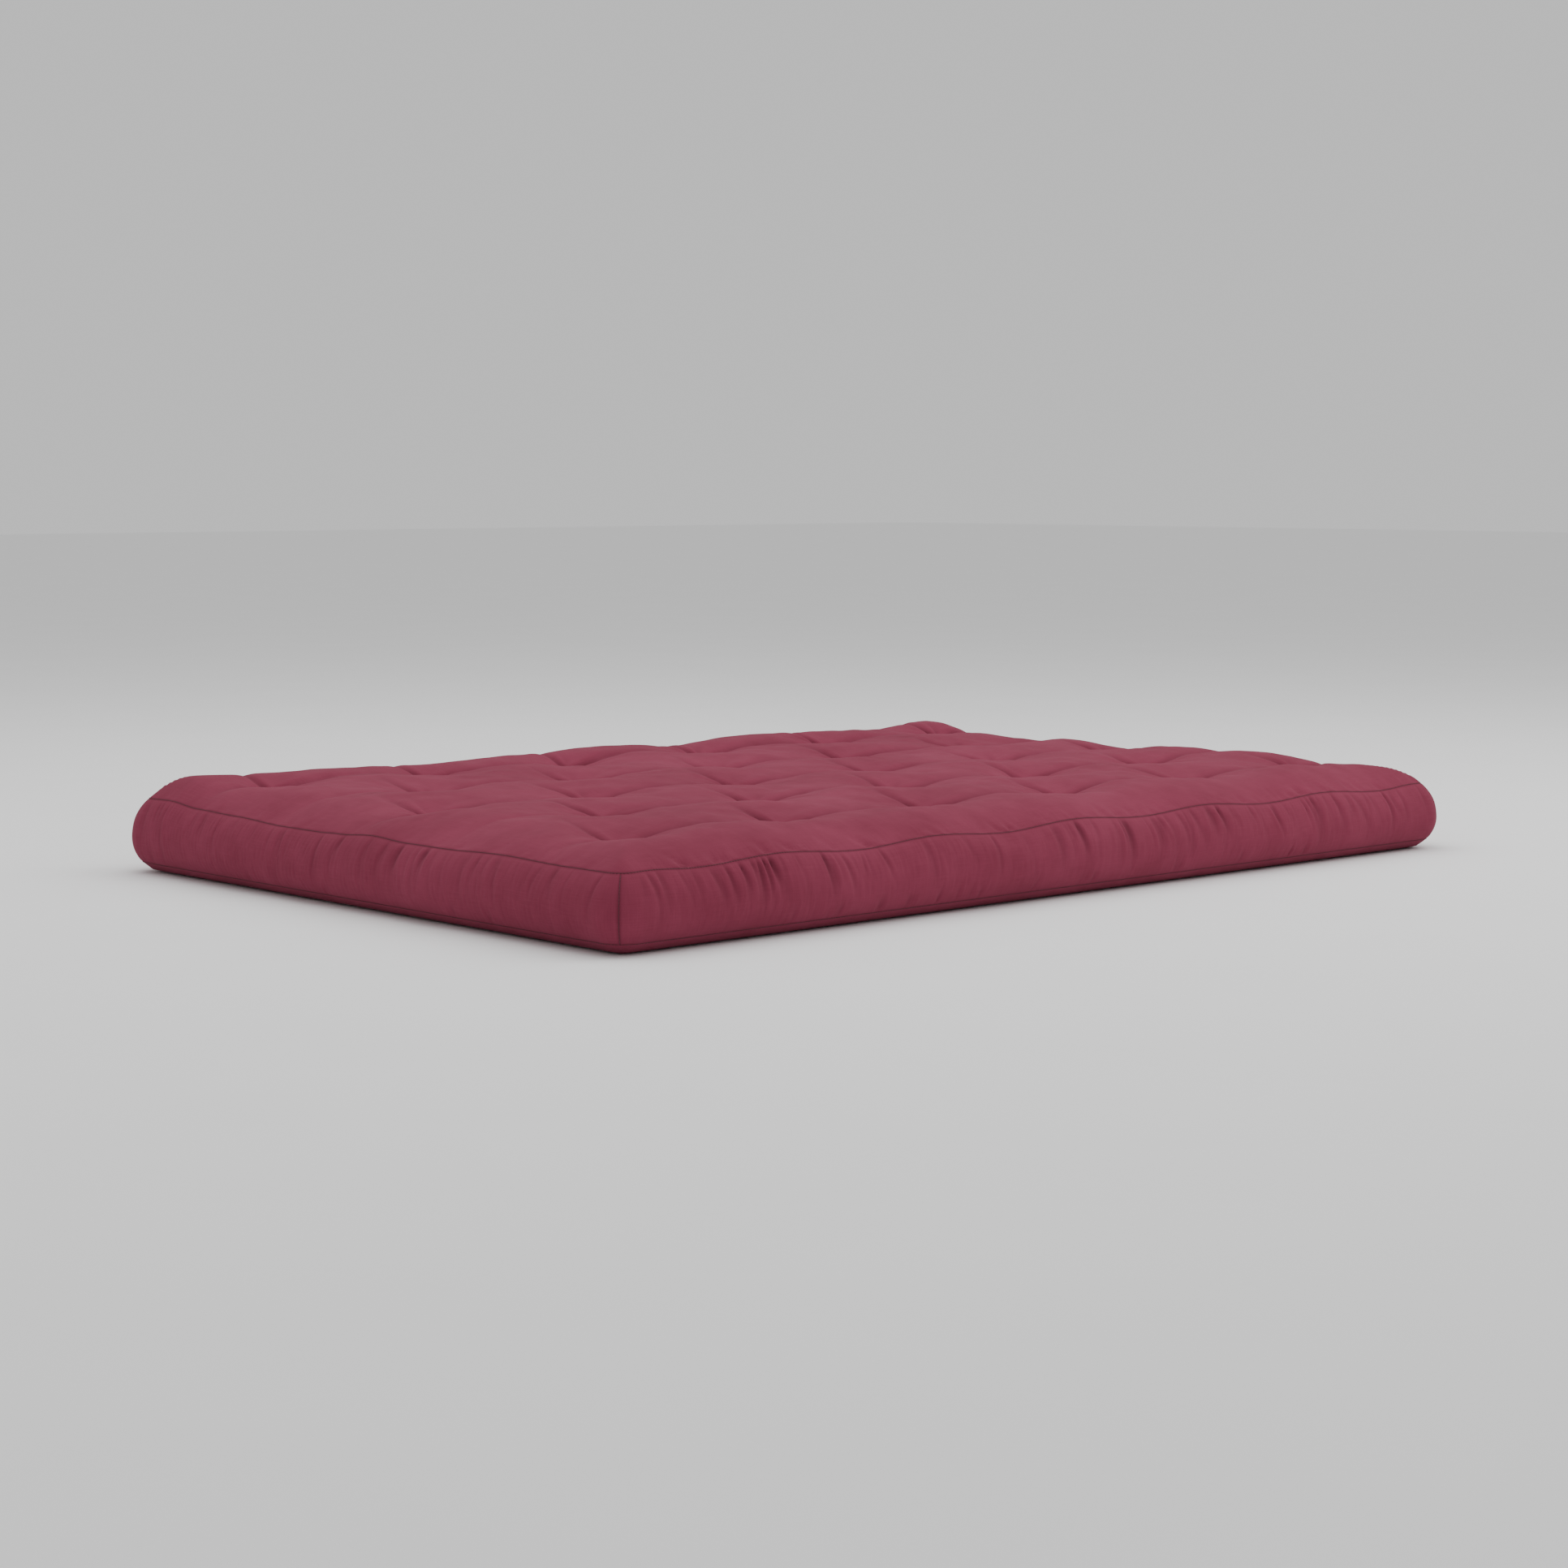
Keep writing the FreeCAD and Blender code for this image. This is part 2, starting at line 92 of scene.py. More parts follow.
class Face(Enum):
    """The two panels of the cover."""

    TOP = "top"
    BOTTOM = "bottom"


@dataclass(frozen=True)
class MattressSizes:
    """The sizes that every piece is worked out from.

    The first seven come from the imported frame. The others are the cover's own.
    """

    half_length: float
    half_depth: float
    bottom_seam: float
    top_seam: float
    thickness: float
    column_pitch: float
    row_pitch: float
    corner_radius: float = 0.030
    border_bulge: float = 0.0225
    bottom_reach: float = 0.011
    shoulder: float = 0.105
    shoulder_power: float = 2.3
    crown: float = -0.001
    foot: float = 0.030
    foot_power: float = 2.4
    tuft_depth: float = 0.021
    tuft_reach: float = 0.037
    tuft_blunt: float = 0.006
    row_depth: float = 0.0065
    row_width: float = 0.030
    under_depth: float = 0.008
    under_reach: float = 0.020
    cloth: float = 0.0018
    batting: float = 0.0075
    rows: int = 5
    long_row: int = 6

    @classmethod
    def from_frame(cls) -> "MattressSizes":
        """Reads the seam line, the seam heights and the pitch of the ties off the CAD nodes.

        Returns:
            The sizes of this mattress.
        """
        panel_low, panel_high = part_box("seat_cover_top")
        border_low, border_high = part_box("front_border")
        seat_low, seat_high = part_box("seat_tufting_twine")
        back_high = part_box("back_tufting_twine")[1]
        strand_reach = 0.0065
        knot_reach = 0.0025
        columns = cls.long_row - 1
        rows = cls.rows - 1
        return cls(
            half_length=panel_high.x,
            half_depth=-panel_low.y,
            bottom_seam=border_low.z,
            top_seam=border_high.z,
            thickness=panel_high.z,
            column_pitch=(seat_high.x - seat_low.x - 2 * strand_reach) / columns,
            row_pitch=(back_high.y - seat_low.y - 2 * knot_reach) / rows,
        )

    def row_of_tufts(self, row: int) -> Array:
        """The plan positions of one row of ties, six and five by turns, centred.

        Args:
            row: 0 at the front.

        Returns:
            Points, one row each.
        """
        count = self.long_row - row % 2
        x = (np.arange(count) - (count - 1) / 2) * self.column_pitch
        y = np.full(count, (row - (self.rows - 1) / 2) * self.row_pitch)
        return np.stack([x, y], -1)

    def tufts(self) -> Array:
        """The plan positions of all the ties."""
        return np.concatenate([self.row_of_tufts(row) for row in range(self.rows)])


def smooth_step(t: Array) -> Array:
    """Zero below 0, one above 1, and 3t^2 - 2t^3 between."""
    t = np.clip(t, 0.0, 1.0)
    return t * t * (3 - 2 * t)


def ripples(points: Array, shortest: float, longest: float, count: int, seed: int) -> Array:
    """A smooth uneven surface: the sum of plane waves in seeded directions, about -1 to 1.

    Args:
        points: Plan positions, with x and y last.
        shortest: The shortest wave.
        longest: The longest wave.
        count: How many waves.
        seed: The draw.

    Returns:
        One height for each point.
    """
    rng = np.random.default_rng(seed)
    wave = np.exp(rng.uniform(math.log(shortest), math.log(longest), count))
    angle = rng.uniform(0, 2 * math.pi, count)
    shift = rng.uniform(0, 2 * math.pi, count)
    total = np.zeros(points.shape[:-1])
    for length, turn, start in zip(wave, angle, shift):
        along = points[..., 0] * math.cos(turn) + points[..., 1] * math.sin(turn)
        total += np.sin(along * (2 * math.pi / length) + start)
    return total * math.sqrt(2 / count) / 2


def cubic_weights(coarse: int, places: Array) -> Array:
    """The matrix that carries evenly spaced values to other places by Catmull-Rom cubics.

    Args:
        coarse: How many even values there are, from place 0 to place 1.
        places: Where the new values are wanted, from 0 to 1.

    Returns:
        One row for each new place and one column for each even value.
    """
    at = np.clip(places, 0, 1) * (coarse - 1)
    first = np.minimum(at.astype(int), coarse - 2)
    t = at - first
    parts = [
        (-1, (-t + 2 * t**2 - t**3) / 2),
        (0, (2 - 5 * t**2 + 3 * t**3) / 2),
        (1, (t + 4 * t**2 - 3 * t**3) / 2),
        (2, (-(t**2) + t**3) / 2),
    ]
    matrix = np.zeros((len(places), coarse))
    for step, share in parts:
        np.add.at(matrix, (np.arange(len(places)), np.clip(first + step, 0, coarse - 1)), share)
    return matrix


def normals_of(surface: Array) -> Array:
    """The unit normals of a grid of points: its two tangents crossed.

    Args:
        surface: Points, rows by columns by three.

    Returns:
        Unit vectors in the same layout.
    """
    across = np.gradient(surface, axis=1)
    up = np.gradient(surface, axis=0)
    normal = np.cross(across, up)
    return normal / np.maximum(np.linalg.norm(normal, axis=-1, keepdims=True), 1e-12)


def graded_lines(half: float, step: float, closer: Array, edge: tuple[float, ...]) -> Array:
    """Grid lines from -half to half, close together at the ends and near chosen places.

    Between the ends their density is (1 + crowding sum exp(-((x - place) / reach)^2)) / step,
    and the lines stand at even steps of its running total. The one nearest each place moves
    onto it.

    Args:
        half: The end of the lines.
        step: The spacing away from the chosen places, about.
        closer: Places that have a line of their own and closer lines round it.
        edge: Distances from each end that have lines too.

    Returns:
        The places of the lines, in order. Their number is one more than a multiple of four.
    """
    crowding = 0.9
    reach = 0.028
    inner = half - edge[-1] - step * 0.6
    fine = np.linspace(-inner, inner, 4001)
    near = np.exp(-(((fine[:, None] - closer[None]) / reach) ** 2)).sum(-1)
    density = (1 + crowding * near) / step
    total = np.concatenate([[0], np.cumsum((density[1:] + density[:-1]) / 2 * np.diff(fine))])
    count = math.ceil(total[-1]) + 1
    while (count + 2 * len(edge) - 1) % 4:
        count += 1
    lines = np.interp(np.linspace(0, total[-1], count), total, fine)
    for place in closer:
        lines[np.abs(lines - place).argmin()] = place
    ends = np.array(edge)
    return np.concatenate([-half + ends, lines, (half - ends)[::-1]])


@dataclass(frozen=True)
class SeamRise:
    """How high one side's top seam runs above or below its level, place by place."""

    side: Side
    places: tuple[float, ...]
    rises: tuple[float, ...]

    def at(self, along: Array) -> Array:
        """The rise at places along the side, eased between the listed ones."""
        places = np.array(self.places)
        rises = np.array(self.rises)
        index = np.clip(np.searchsorted(places, along) - 1, 0, len(places) - 2)
        share = smooth_step((along - places[index]) / (places[index + 1] - places[index]))
        return rises[index] * (1 - share) + rises[index + 1] * share


@dataclass(frozen=True)
class Fold:
    """A deep fold in a border, running down from its top seam."""

    side: Side
    place: float
    depth: float = 0.0050
    width: float = 0.0048
    lean: float = 0.006
    reach: float = 0.80


@dataclass(frozen=True)
class Lift:
    """A place where the upper panel is fuller or slacker than elsewhere."""

    x: float
    y: float
    height: float
    reach_x: float
    reach_y: float


@dataclass
class MattressShape:
    """The cover's outer surface as a function of place, and how its cloth swells."""

    sizes: MattressSizes
    swell: dict[str, Array] = field(default_factory=dict)
    coarse_columns: int = 161
    coarse_rows: int = 109
    coarse_rings: int = 9

    SEAM_REACH = 0.075
    SEAM_DIP = 0.0042
    SEAM_SWAY = 0.0012
    SEAM_FADE = 0.12
    BULGE_POWER = 2.4
    LIFT_EDGE = 0.05
    MOST_SWELL = 0.0060
    PULL = 0.0011
    PULL_REACH = 0.0024
    RISES = (
        SeamRise(
            Side.LEFT,
            (-0.65, -0.53, -0.38, -0.22, -0.13, -0.04, 0.05, 0.11, 0.21, 0.35, 0.47, 0.56, 0.65),
            (-0.002, -0.002, 0.001, -0.003, -0.003, 0.001, -0.004, -0.006, -0.006, -0.001, 0.002,
             0.009, 0.007),
        ),
        SeamRise(
            Side.RIGHT,
            (-0.65, -0.47, -0.24, 0.0, 0.22, 0.47, 0.65),
            (0.0, -0.004, 0.003, -0.005, 0.002, -0.004, 0.001),
        ),
    )

    LIFTS = (
        Lift(0.40, 0.56, 0.014, 0.24, 0.09),
        Lift(0.86, 0.56, 0.018, 0.11, 0.10),
        Lift(0.82, 0.25, -0.014, 0.10, 0.10),
        Lift(0.84, -0.10, 0.004, 0.12, 0.12),
        Lift(0.85, -0.38, 0.007, 0.12, 0.11),
        Lift(-0.12, 0.56, 0.011, 0.28, 0.09),
        Lift(-0.86, 0.54, 0.012, 0.14, 0.16),
        Lift(-0.60, 0.54, 0.009, 0.16, 0.10),
    )

    def plan(self, x: Array, y: Array, grow: float = 0.0) -> tuple[Array, Array]:
        """Carries a flat rectangle to the rounded plan, square corners to the middle of the arcs.

        Inside each corner square, with p and q from 0 to 1 towards the corner, the point goes
        to p sqrt(1 - q^2/2) and q sqrt(1 - p^2/2), so that the square's rim becomes an arc.

        Args:
            x: Flat places along the mattress.
            y: Flat places across it.
            grow: How far the outline stands outside the seam line.

        Returns:
            The plan positions, x and y.
        """
        s = self.sizes
        radius = s.corner_radius
        flat_x = s.half_length - radius
        flat_y = s.half_depth - radius
        p = np.clip((np.abs(x) - flat_x) / radius, 0, 1)
        q = np.clip((np.abs(y) - flat_y) / radius, 0, 1)
        bigger = radius + grow
        arc_x = np.sign(x) * (flat_x + bigger * p * np.sqrt(1 - q * q / 2))
        arc_y = np.sign(y) * (flat_y + bigger * q * np.sqrt(1 - p * p / 2))
        return np.where(p > 0, arc_x, x), np.where(q > 0, arc_y, y)

    def inset(self, x: Array, y: Array) -> Array:
        """How far plan positions are inside the rounded seam line."""
        s = self.sizes
        over_x = np.abs(x) - (s.half_length - s.corner_radius)
        over_y = np.abs(y) - (s.half_depth - s.corner_radius)
        outside = np.hypot(np.maximum(over_x, 0), np.maximum(over_y, 0))
        inside = np.minimum(np.maximum(over_x, over_y), 0)
        return np.maximum(s.corner_radius - outside - inside, 0)

    def seam_rise(self, x: Array, y: Array) -> Array:
        """The rise and fall of the top seam at flat places, fading away from each side.

        On the long sides it dips opposite each tie of the front and rear rows, as a cosine of
        the tie pitch. On the short sides it follows the listed heights.

        Args:
            x: Flat places along the mattress.
            y: Flat places across it.

        Returns:
            Heights to add.
        """
        s = self.sizes
        turn = 2 * math.pi / s.column_pitch
        wave = -self.SEAM_DIP * np.cos(turn * (x - s.column_pitch / 2))
        wave = wave + self.SEAM_SWAY * np.sin(5.3 * x + 1.0)
        fade = smooth_step((s.half_length - np.abs(x)) / self.SEAM_FADE)
        total = np.zeros(np.broadcast(x, y).shape)
        for edge in (-s.half_depth, s.half_depth):
            total = total + wave * fade * np.exp(-(((y - edge) / self.SEAM_REACH) ** 2))
        for rise in self.RISES:
            edge = -s.half_length if rise.side is Side.LEFT else s.half_length
            total = total + rise.at(y) * np.exp(-(((x - edge) / self.SEAM_REACH) ** 2))
        return total

    def tuft_distances(self, x: Array, y: Array) -> Array:
        """The distances from plan positions to every tie, ties last."""
        ties = self.sizes.tufts()
        return np.hypot(x[..., None] - ties[:, 0], y[..., None] - ties[:, 1])

    def top_height(self, x: Array, y: Array, flat_x: Array, flat_y: Array) -> Array:
        """The smooth height of the upper panel.

        From the seam it rises over the shoulder as 1 - (1 - d)^power of the inset d. Each tie
        pulls it down by depth times exp(-r / reach), and each row of ties by a shallow valley.

        Args:
            x: Plan positions along the mattress.
            y: Plan positions across it.
            flat_x: The same points on the flat rectangle.
            flat_y: The same points on the flat rectangle.

        Returns:
            Heights above the floor.
        """
        s = self.sizes
        inset = self.inset(x, y)
        climb = 1 - (1 - np.clip(inset / s.shoulder, 0, 1)) ** s.shoulder_power
        height = s.top_seam + (s.thickness - s.top_seam + s.crown) * climb
        r = np.sqrt(self.tuft_distances(x, y) ** 2 + s.tuft_blunt**2) - s.tuft_blunt
        height = height - s.tuft_depth * np.exp(-r / s.tuft_reach).sum(-1)
        rows = (np.arange(s.rows) - (s.rows - 1) / 2) * s.row_pitch
        valley = np.exp(-np.abs(y[..., None] - rows) / s.row_width).sum(-1)
        height = height - s.row_depth * valley * np.clip(inset / s.shoulder, 0, 1)
        for lift in self.LIFTS:
            apart = ((x - lift.x) / lift.reach_x) ** 2 + ((y - lift.y) / lift.reach_y) ** 2
            height = height + lift.height * np.exp(-apart) * smooth_step(inset / self.LIFT_EDGE)
        return height + self.seam_rise(flat_x, flat_y)

    def bottom_height(self, x: Array, y: Array) -> Array:
        """The smooth height of the lower panel: it curls under to the floor, and the ties lift it."""
        s = self.sizes
        curl = (1 - np.clip(self.inset(x, y) / s.foot, 0, 1)) ** s.foot_power
        ties = np.exp(-((self.tuft_distances(x, y) / s.under_reach) ** 1.5)).sum(-1)
        return s.bottom_seam * curl + s.under_depth * ties

    def base_panel(self, face: Face, x: Array, y: Array) -> Array:
        """A panel's smooth surface, before the cloth swells.

        Args:
            face: Which panel.
            x: The flat grid lines along the mattress.
            y: The flat grid lines across it.

        Returns:
            Points, rows by columns by three.
        """
        flat_x, flat_y = np.meshgrid(x, y)
        plan_x, plan_y = self.plan(flat_x, flat_y)
        if face is Face.TOP:
            height = self.top_height(plan_x, plan_y, flat_x, flat_y)
        else:
            height = self.bottom_height(plan_x, plan_y)
            plan_x, plan_y = self.plan(flat_x, flat_y, self.sizes.bottom_reach)
        return np.stack([plan_x, plan_y, height], -1)

    def shares(self, x: Array, y: Array) -> tuple[Array, Array]:
        """Flat grid lines as shares of the panel, from 0 to 1: across it, then along it."""
        s = self.sizes
        return (y + s.half_depth) / (2 * s.half_depth), (x + s.half_length) / (2 * s.half_length)

    def smooth_top(self, x: Array, y: Array) -> Array:
        """The upper panel with its swelling and without its creases, on flat grid lines."""
        return self.base_panel(Face.TOP, x, y) + self.swelling("top", *self.shares(x, y))

    def rim(self, side: Side, along: Array) -> tuple[Array, Array]:
        """The flat places of a side's seam line, running anticlockwise seen from above.

        Args:
            side: The side.
            along: Distances along it, from minus its half length to its half length.

        Returns:
            Flat x and flat y.
        """
        s = self.sizes
        ones = np.ones_like(along)
        if side is Side.FRONT:
            return along, -s.half_depth * ones
        if side is Side.RIGHT:
            return s.half_length * ones, along
        if side is Side.REAR:
            return -along, s.half_depth * ones
        return -s.half_length * ones, -along

    def half_of(self, side: Side) -> float:
        """Half the length of a side's seam line."""
        return self.sizes.half_length if side in (Side.FRONT, Side.REAR) else self.sizes.half_depth

    def outward(self, side: Side, along: Array) -> Array:
        """The level unit vectors that point straight out of a side.

        They run from the nearest point of the rectangle of the corners' centres to the rim.
        """
        s = self.sizes
        x, y = self.plan(*self.rim(side, along))
        inner_x = s.half_length - s.corner_radius
        inner_y = s.half_depth - s.corner_radius
        out = np.stack([x - np.clip(x, -inner_x, inner_x), y - np.clip(y, -inner_y, inner_y)], -1)
        out = out / np.linalg.norm(out, axis=-1, keepdims=True)
        return np.concatenate([out, np.zeros((len(along), 1))], -1)

    def stand(self, t: Array) -> Array:
        """How far a border stands outside the top seam line at t, 0 at the bottom seam.

        It is reach (1 - t) + bulge (1 - |2t - 1|^power).
        """
        s = self.sizes
        bulge = s.border_bulge * (1 - np.abs(2 * t - 1) ** self.BULGE_POWER)
        return s.bottom_reach * (1 - t) + bulge

    def base_border(self, side: Side, along: Array, t: Array) -> Array:
        """A border's smooth surface, from its bottom seam to its top seam.

        Args:
            side: The side.
            along: The grid lines along it.
            t: The grid lines up it, 0 at the bottom seam and 1 at the top one.

        Returns:
            Points, rows by columns by three.
        """
        flat_x, flat_y = self.rim(side, along)
        x, y = self.plan(flat_x, flat_y)
        low = np.stack([x, y, self.bottom_height(x, y)], -1)
        high = np.stack([x, y, self.top_height(x, y, flat_x, flat_y)], -1)
        rise = t[:, None, None]
        out = self.outward(side, along)[None]
        return low[None] * (1 - rise) + high[None] * rise + out * self.stand(t)[:, None, None]

    # -- the swelling ------------------------------------------------------------------------

    def inflate(self) -> None:
        """Lets the cover's cloth swell between its seams and ties, and keeps how far it moved.

        A closed mesh of both panels and the border is given to the cloth solver, with the
        seams and the ties held. The moves are kept on the even grid that they were worked
        out on.
        """
        s = self.sizes
        x = np.linspace(-s.half_length, s.half_length, self.coarse_columns)
        y = np.linspace(-s.half_depth, s.half_depth, self.coarse_rows)
        t = np.linspace(0, 1, self.coarse_rings + 2)
        top = self.base_panel(Face.TOP, x, y)
        bottom = self.base_panel(Face.BOTTOM, x, y)
        bands = {
            side: self.base_border(side, x if self.half_of(side) == s.half_length else y, t)
            for side in Side
        }
        band = np.concatenate([bands[side][1:-1, :-1] for side in Side], 1)
        points = np.concatenate([a.reshape(-1, 3) for a in (top, bottom, band)])
        count = top.shape[0] * top.shape[1]
        rim = rim_of(self.coarse_rows, self.coarse_columns)
        round_it = len(rim)
        rings = [rim + count]
        rings += [2 * count + k * round_it + np.arange(round_it) for k in range(len(t) - 2)]
        rings += [rim]
        panel = grid_faces(self.coarse_rows, self.coarse_columns)
        strips = [
            np.stack([a, np.roll(a, -1), np.roll(b, -1), b], -1)
            for a, b in zip(rings[:-1], rings[1:])
        ]
        faces = np.concatenate([panel, panel[:, ::-1] + count, *strips])
        nearest = self.tuft_distances(points[:count, 0], points[:count, 1]).argmin(0)
        held = np.unique(np.concatenate([nearest, nearest + count, rim, rim + count]))
        moved = swollen(points, faces, held) - points
        over = moved[:count].reshape(top.shape).copy()
        over[..., 2] = self.MOST_SWELL * np.tanh(over[..., 2] / self.MOST_SWELL)
        self.swell["top"] = over
        under = moved[count : 2 * count].reshape(top.shape).copy()
        under[..., 2] = 0
        self.swell["bottom"] = under
        middle = moved[2 * count :].reshape(len(t) - 2, round_it, 3)
        closed = np.concatenate([middle, middle[:, :1]], 1)
        start = 0
        for side in Side:
            width = bands[side].shape[1]
            full = np.zeros((len(t), width, 3))
            full[1:-1] = closed[:, start : start + width]
            self.swell[side.value] = full
            start += width - 1

    def swelling(self, key: str, rows: Array, columns: Array) -> Array:
        """The kept moves, carried to other grid lines.

        Args:
            key: Which surface.
            rows: Places up the grid, from 0 to 1.
            columns: Places along it, from 0 to 1.

        Returns:
            Moves, rows by columns by three.
        """
        if key not in self.swell:
            return np.zeros((len(rows), len(columns), 3))
        moves = self.swell[key]
        up = cubic_weights(moves.shape[0], rows)
        along = cubic_weights(moves.shape[1], columns)
        return np.einsum("ij,jkc,lk->ilc", up, moves, along, optimize=True)


def swollen(points: Array, faces: Array, held: Array) -> Array:
    """Steps the cloth solver on a closed mesh with air pressure inside it and no gravity.

    Args:
        points: The mesh's points.
        faces: Its four-sided faces.
        held: The points that stay where they are.

    Returns:
        Where the points came to rest.
    """
    mesh = bpy.data.meshes.new("cover_in_the_making")
    mesh.from_pydata(points.tolist(), [], faces.tolist())
    piece = linked("cover_in_the_making", mesh)
    scene = bpy.context.scene
    group = piece.vertex_groups.new(name="held")
    group.add(held.tolist(), 1.0, "REPLACE")
    modifier = piece.modifiers.new("Cloth", "CLOTH")
    cloth = modifier.settings
    cloth.quality = 4
    cloth.mass = 0.25
    cloth.tension_stiffness = 20
    cloth.compression_stiffness = 8
    cloth.shear_stiffness = 5
    cloth.bending_stiffness = 0.4
    cloth.tension_damping = 10
    cloth.compression_damping = 10
    cloth.shear_damping = 10
    cloth.air_damping = 3
    cloth.use_pressure = True
    cloth.uniform_pressure_force = 4
    cloth.vertex_group_mass = "held"
    cloth.effector_weights.gravity = 0
    modifier.collision_settings.use_collision = False
    modifier.collision_settings.use_self_collision = False
    last = 20
    modifier.point_cache.frame_start = 1
    modifier.point_cache.frame_end = last
    scene.frame_start = 1
    scene.frame_end = last
    for step in range(1, last + 1):
        scene.frame_set(step)
    done = piece.evaluated_get(bpy.context.evaluated_depsgraph_get()).to_mesh()
    result = np.zeros(len(points) * 3, np.float32)
    done.vertices.foreach_get("co", result)
    bpy.data.objects.remove(piece)
    bpy.data.meshes.remove(mesh)
    scene.frame_set(1)
    return result.reshape(-1, 3).astype(float)


# --------------------------------------------------------------------------------------------
# Meshes from grids
# --------------------------------------------------------------------------------------------


def grid_faces(rows: int, columns: int) -> Array:
    """The four-sided faces of a grid of points, turning anticlockwise."""
    i = np.arange(rows * columns).reshape(rows, columns)
    return np.stack([i[:-1, :-1], i[:-1, 1:], i[1:, 1:], i[1:, :-1]], -1).reshape(-1, 4)


def rim_of(rows: int, columns: int) -> Array:
    """The points round a grid, anticlockwise from its first corner."""
    i = np.arange(rows * columns).reshape(rows, columns)
    return np.concatenate([i[0, :-1], i[:-1, -1], i[-1, :0:-1], i[:0:-1, 0]])


@dataclass
class Shell:
    """A closed body between an outer grid and an inner one, for a cloth panel or a layer."""

    points: Array
    faces: list[list[int]]
    flat: Array
    # How much painted shade each point gets, from 0 to 1.
    hollow: Array

    @classmethod
    def between(
        cls, outer: Array, inner: Array, flat: Array, hollow: Array | None = None
    ) -> "Shell":
        """Closes the gap between two grids with a wall round the rim.

        The inner grid may be coarser than the outer one by a whole number of cells.

        Args:
            outer: The outer points, whose faces look outwards.
            inner: The inner points.
            flat: The outer points' places on the flat cloth.
            hollow: How much painted shade each outer point gets, from 0 to 1.

        Returns:
            The shell.
        """
        rows, columns = outer.shape[:2]
        step = (rows - 1) // (inner.shape[0] - 1)
        base = rows * columns
        inner_rows, inner_columns = inner.shape[:2]
        faces = grid_faces(rows, columns).tolist()
        faces += (grid_faces(inner_rows, inner_columns)[:, ::-1] + base).tolist()
        outer_rim = rim_of(rows, columns)
        inner_rim = rim_of(inner_rows, inner_columns) + base
        runs = np.stack([np.roll(outer_rim, -k)[::step] for k in range(step + 1)], -1)
        wall = np.concatenate(
            [runs[:, ::-1], inner_rim[:, None], np.roll(inner_rim, -1)[:, None]], -1
        )
        faces += wall.tolist()
        if hollow is None:
            hollow = np.zeros((rows, columns))
        return cls(
            points=np.concatenate([outer.reshape(-1, 3), inner.reshape(-1, 3)]),
            faces=faces,
            flat=np.concatenate(
                [flat.reshape(-1, 2), flat[::step, ::step].reshape(-1, 2)]
            ),
            hollow=np.concatenate([hollow.ravel(), hollow[::step, ::step].ravel()]),
        )

    def piece(self, name: str) -> bpy.types.Object:
        """Makes an object of the shell, with its flat places and its painted shade."""
        return piece_from(name, self.points, self.faces, self.flat, self.hollow)


def tube(path: Array, radius: Array | float, sides: int, closed: bool) -> tuple[Array, Array]:
    """A round tube along a path: rings of points square to it, turned with the path.

    Each ring lies on two vectors square to the path's direction. The first comes from the
    direction crossed with a fixed one that the path never follows.

    Args:
        path: The points along it.
        radius: Its radius, one number or one for each point.
        sides: How many sides it has.
        closed: Whether its end meets its start. An open tube's ends come from fill_caps.

    Returns:
        Points and four-sided faces.
    """
    ahead = np.roll(path, -1, 0) - np.roll(path, 1, 0)
    if not closed:
        ahead[0] = path[1] - path[0]
        ahead[-1] = path[-1] - path[-2]
    ahead = ahead / np.linalg.norm(ahead, axis=1, keepdims=True)
    spread = np.abs(ahead).max(0)
    fixed = np.eye(3)[spread.argmin()]
    first = np.cross(ahead, fixed)
    first = first / np.linalg.norm(first, axis=1, keepdims=True)
    second = np.cross(ahead, first)
    turn = np.arange(sides) * 2 * math.pi / sides
    radius = np.broadcast_to(np.asarray(radius, float), (len(path),))
    ring = first[:, None] * np.cos(turn)[None, :, None] + second[:, None] * np.sin(turn)[None, :, None]
    points = path[:, None] + ring * radius[:, None, None]
    index = np.arange(len(path) * sides).reshape(len(path), sides)
    follow = np.roll(index, -1, 0) if closed else index[1:]
    here = index if closed else index[:-1]
    faces = np.stack([here, follow, np.roll(follow, -1, 1), np.roll(here, -1, 1)], -1)
    faces = faces.reshape(-1, 4)[:, ::-1]
    return points.reshape(-1, 3), faces


def fill_caps(rings: int, sides: int, base: int) -> list[list[int]]:
    """The two end faces of an open tube whose points start at base."""
    start = [base + k for k in range(sides)]
    end = [base + (rings - 1) * sides + k for k in range(sides)]
    return [start, end[::-1]]


def linked(name: str, data: bpy.types.ID) -> bpy.types.Object:
    """Makes an object of a mesh, a lamp or a camera and links it to the scene."""
    made = bpy.data.objects.new(name, data)
    bpy.context.scene.collection.objects.link(made)
    return made


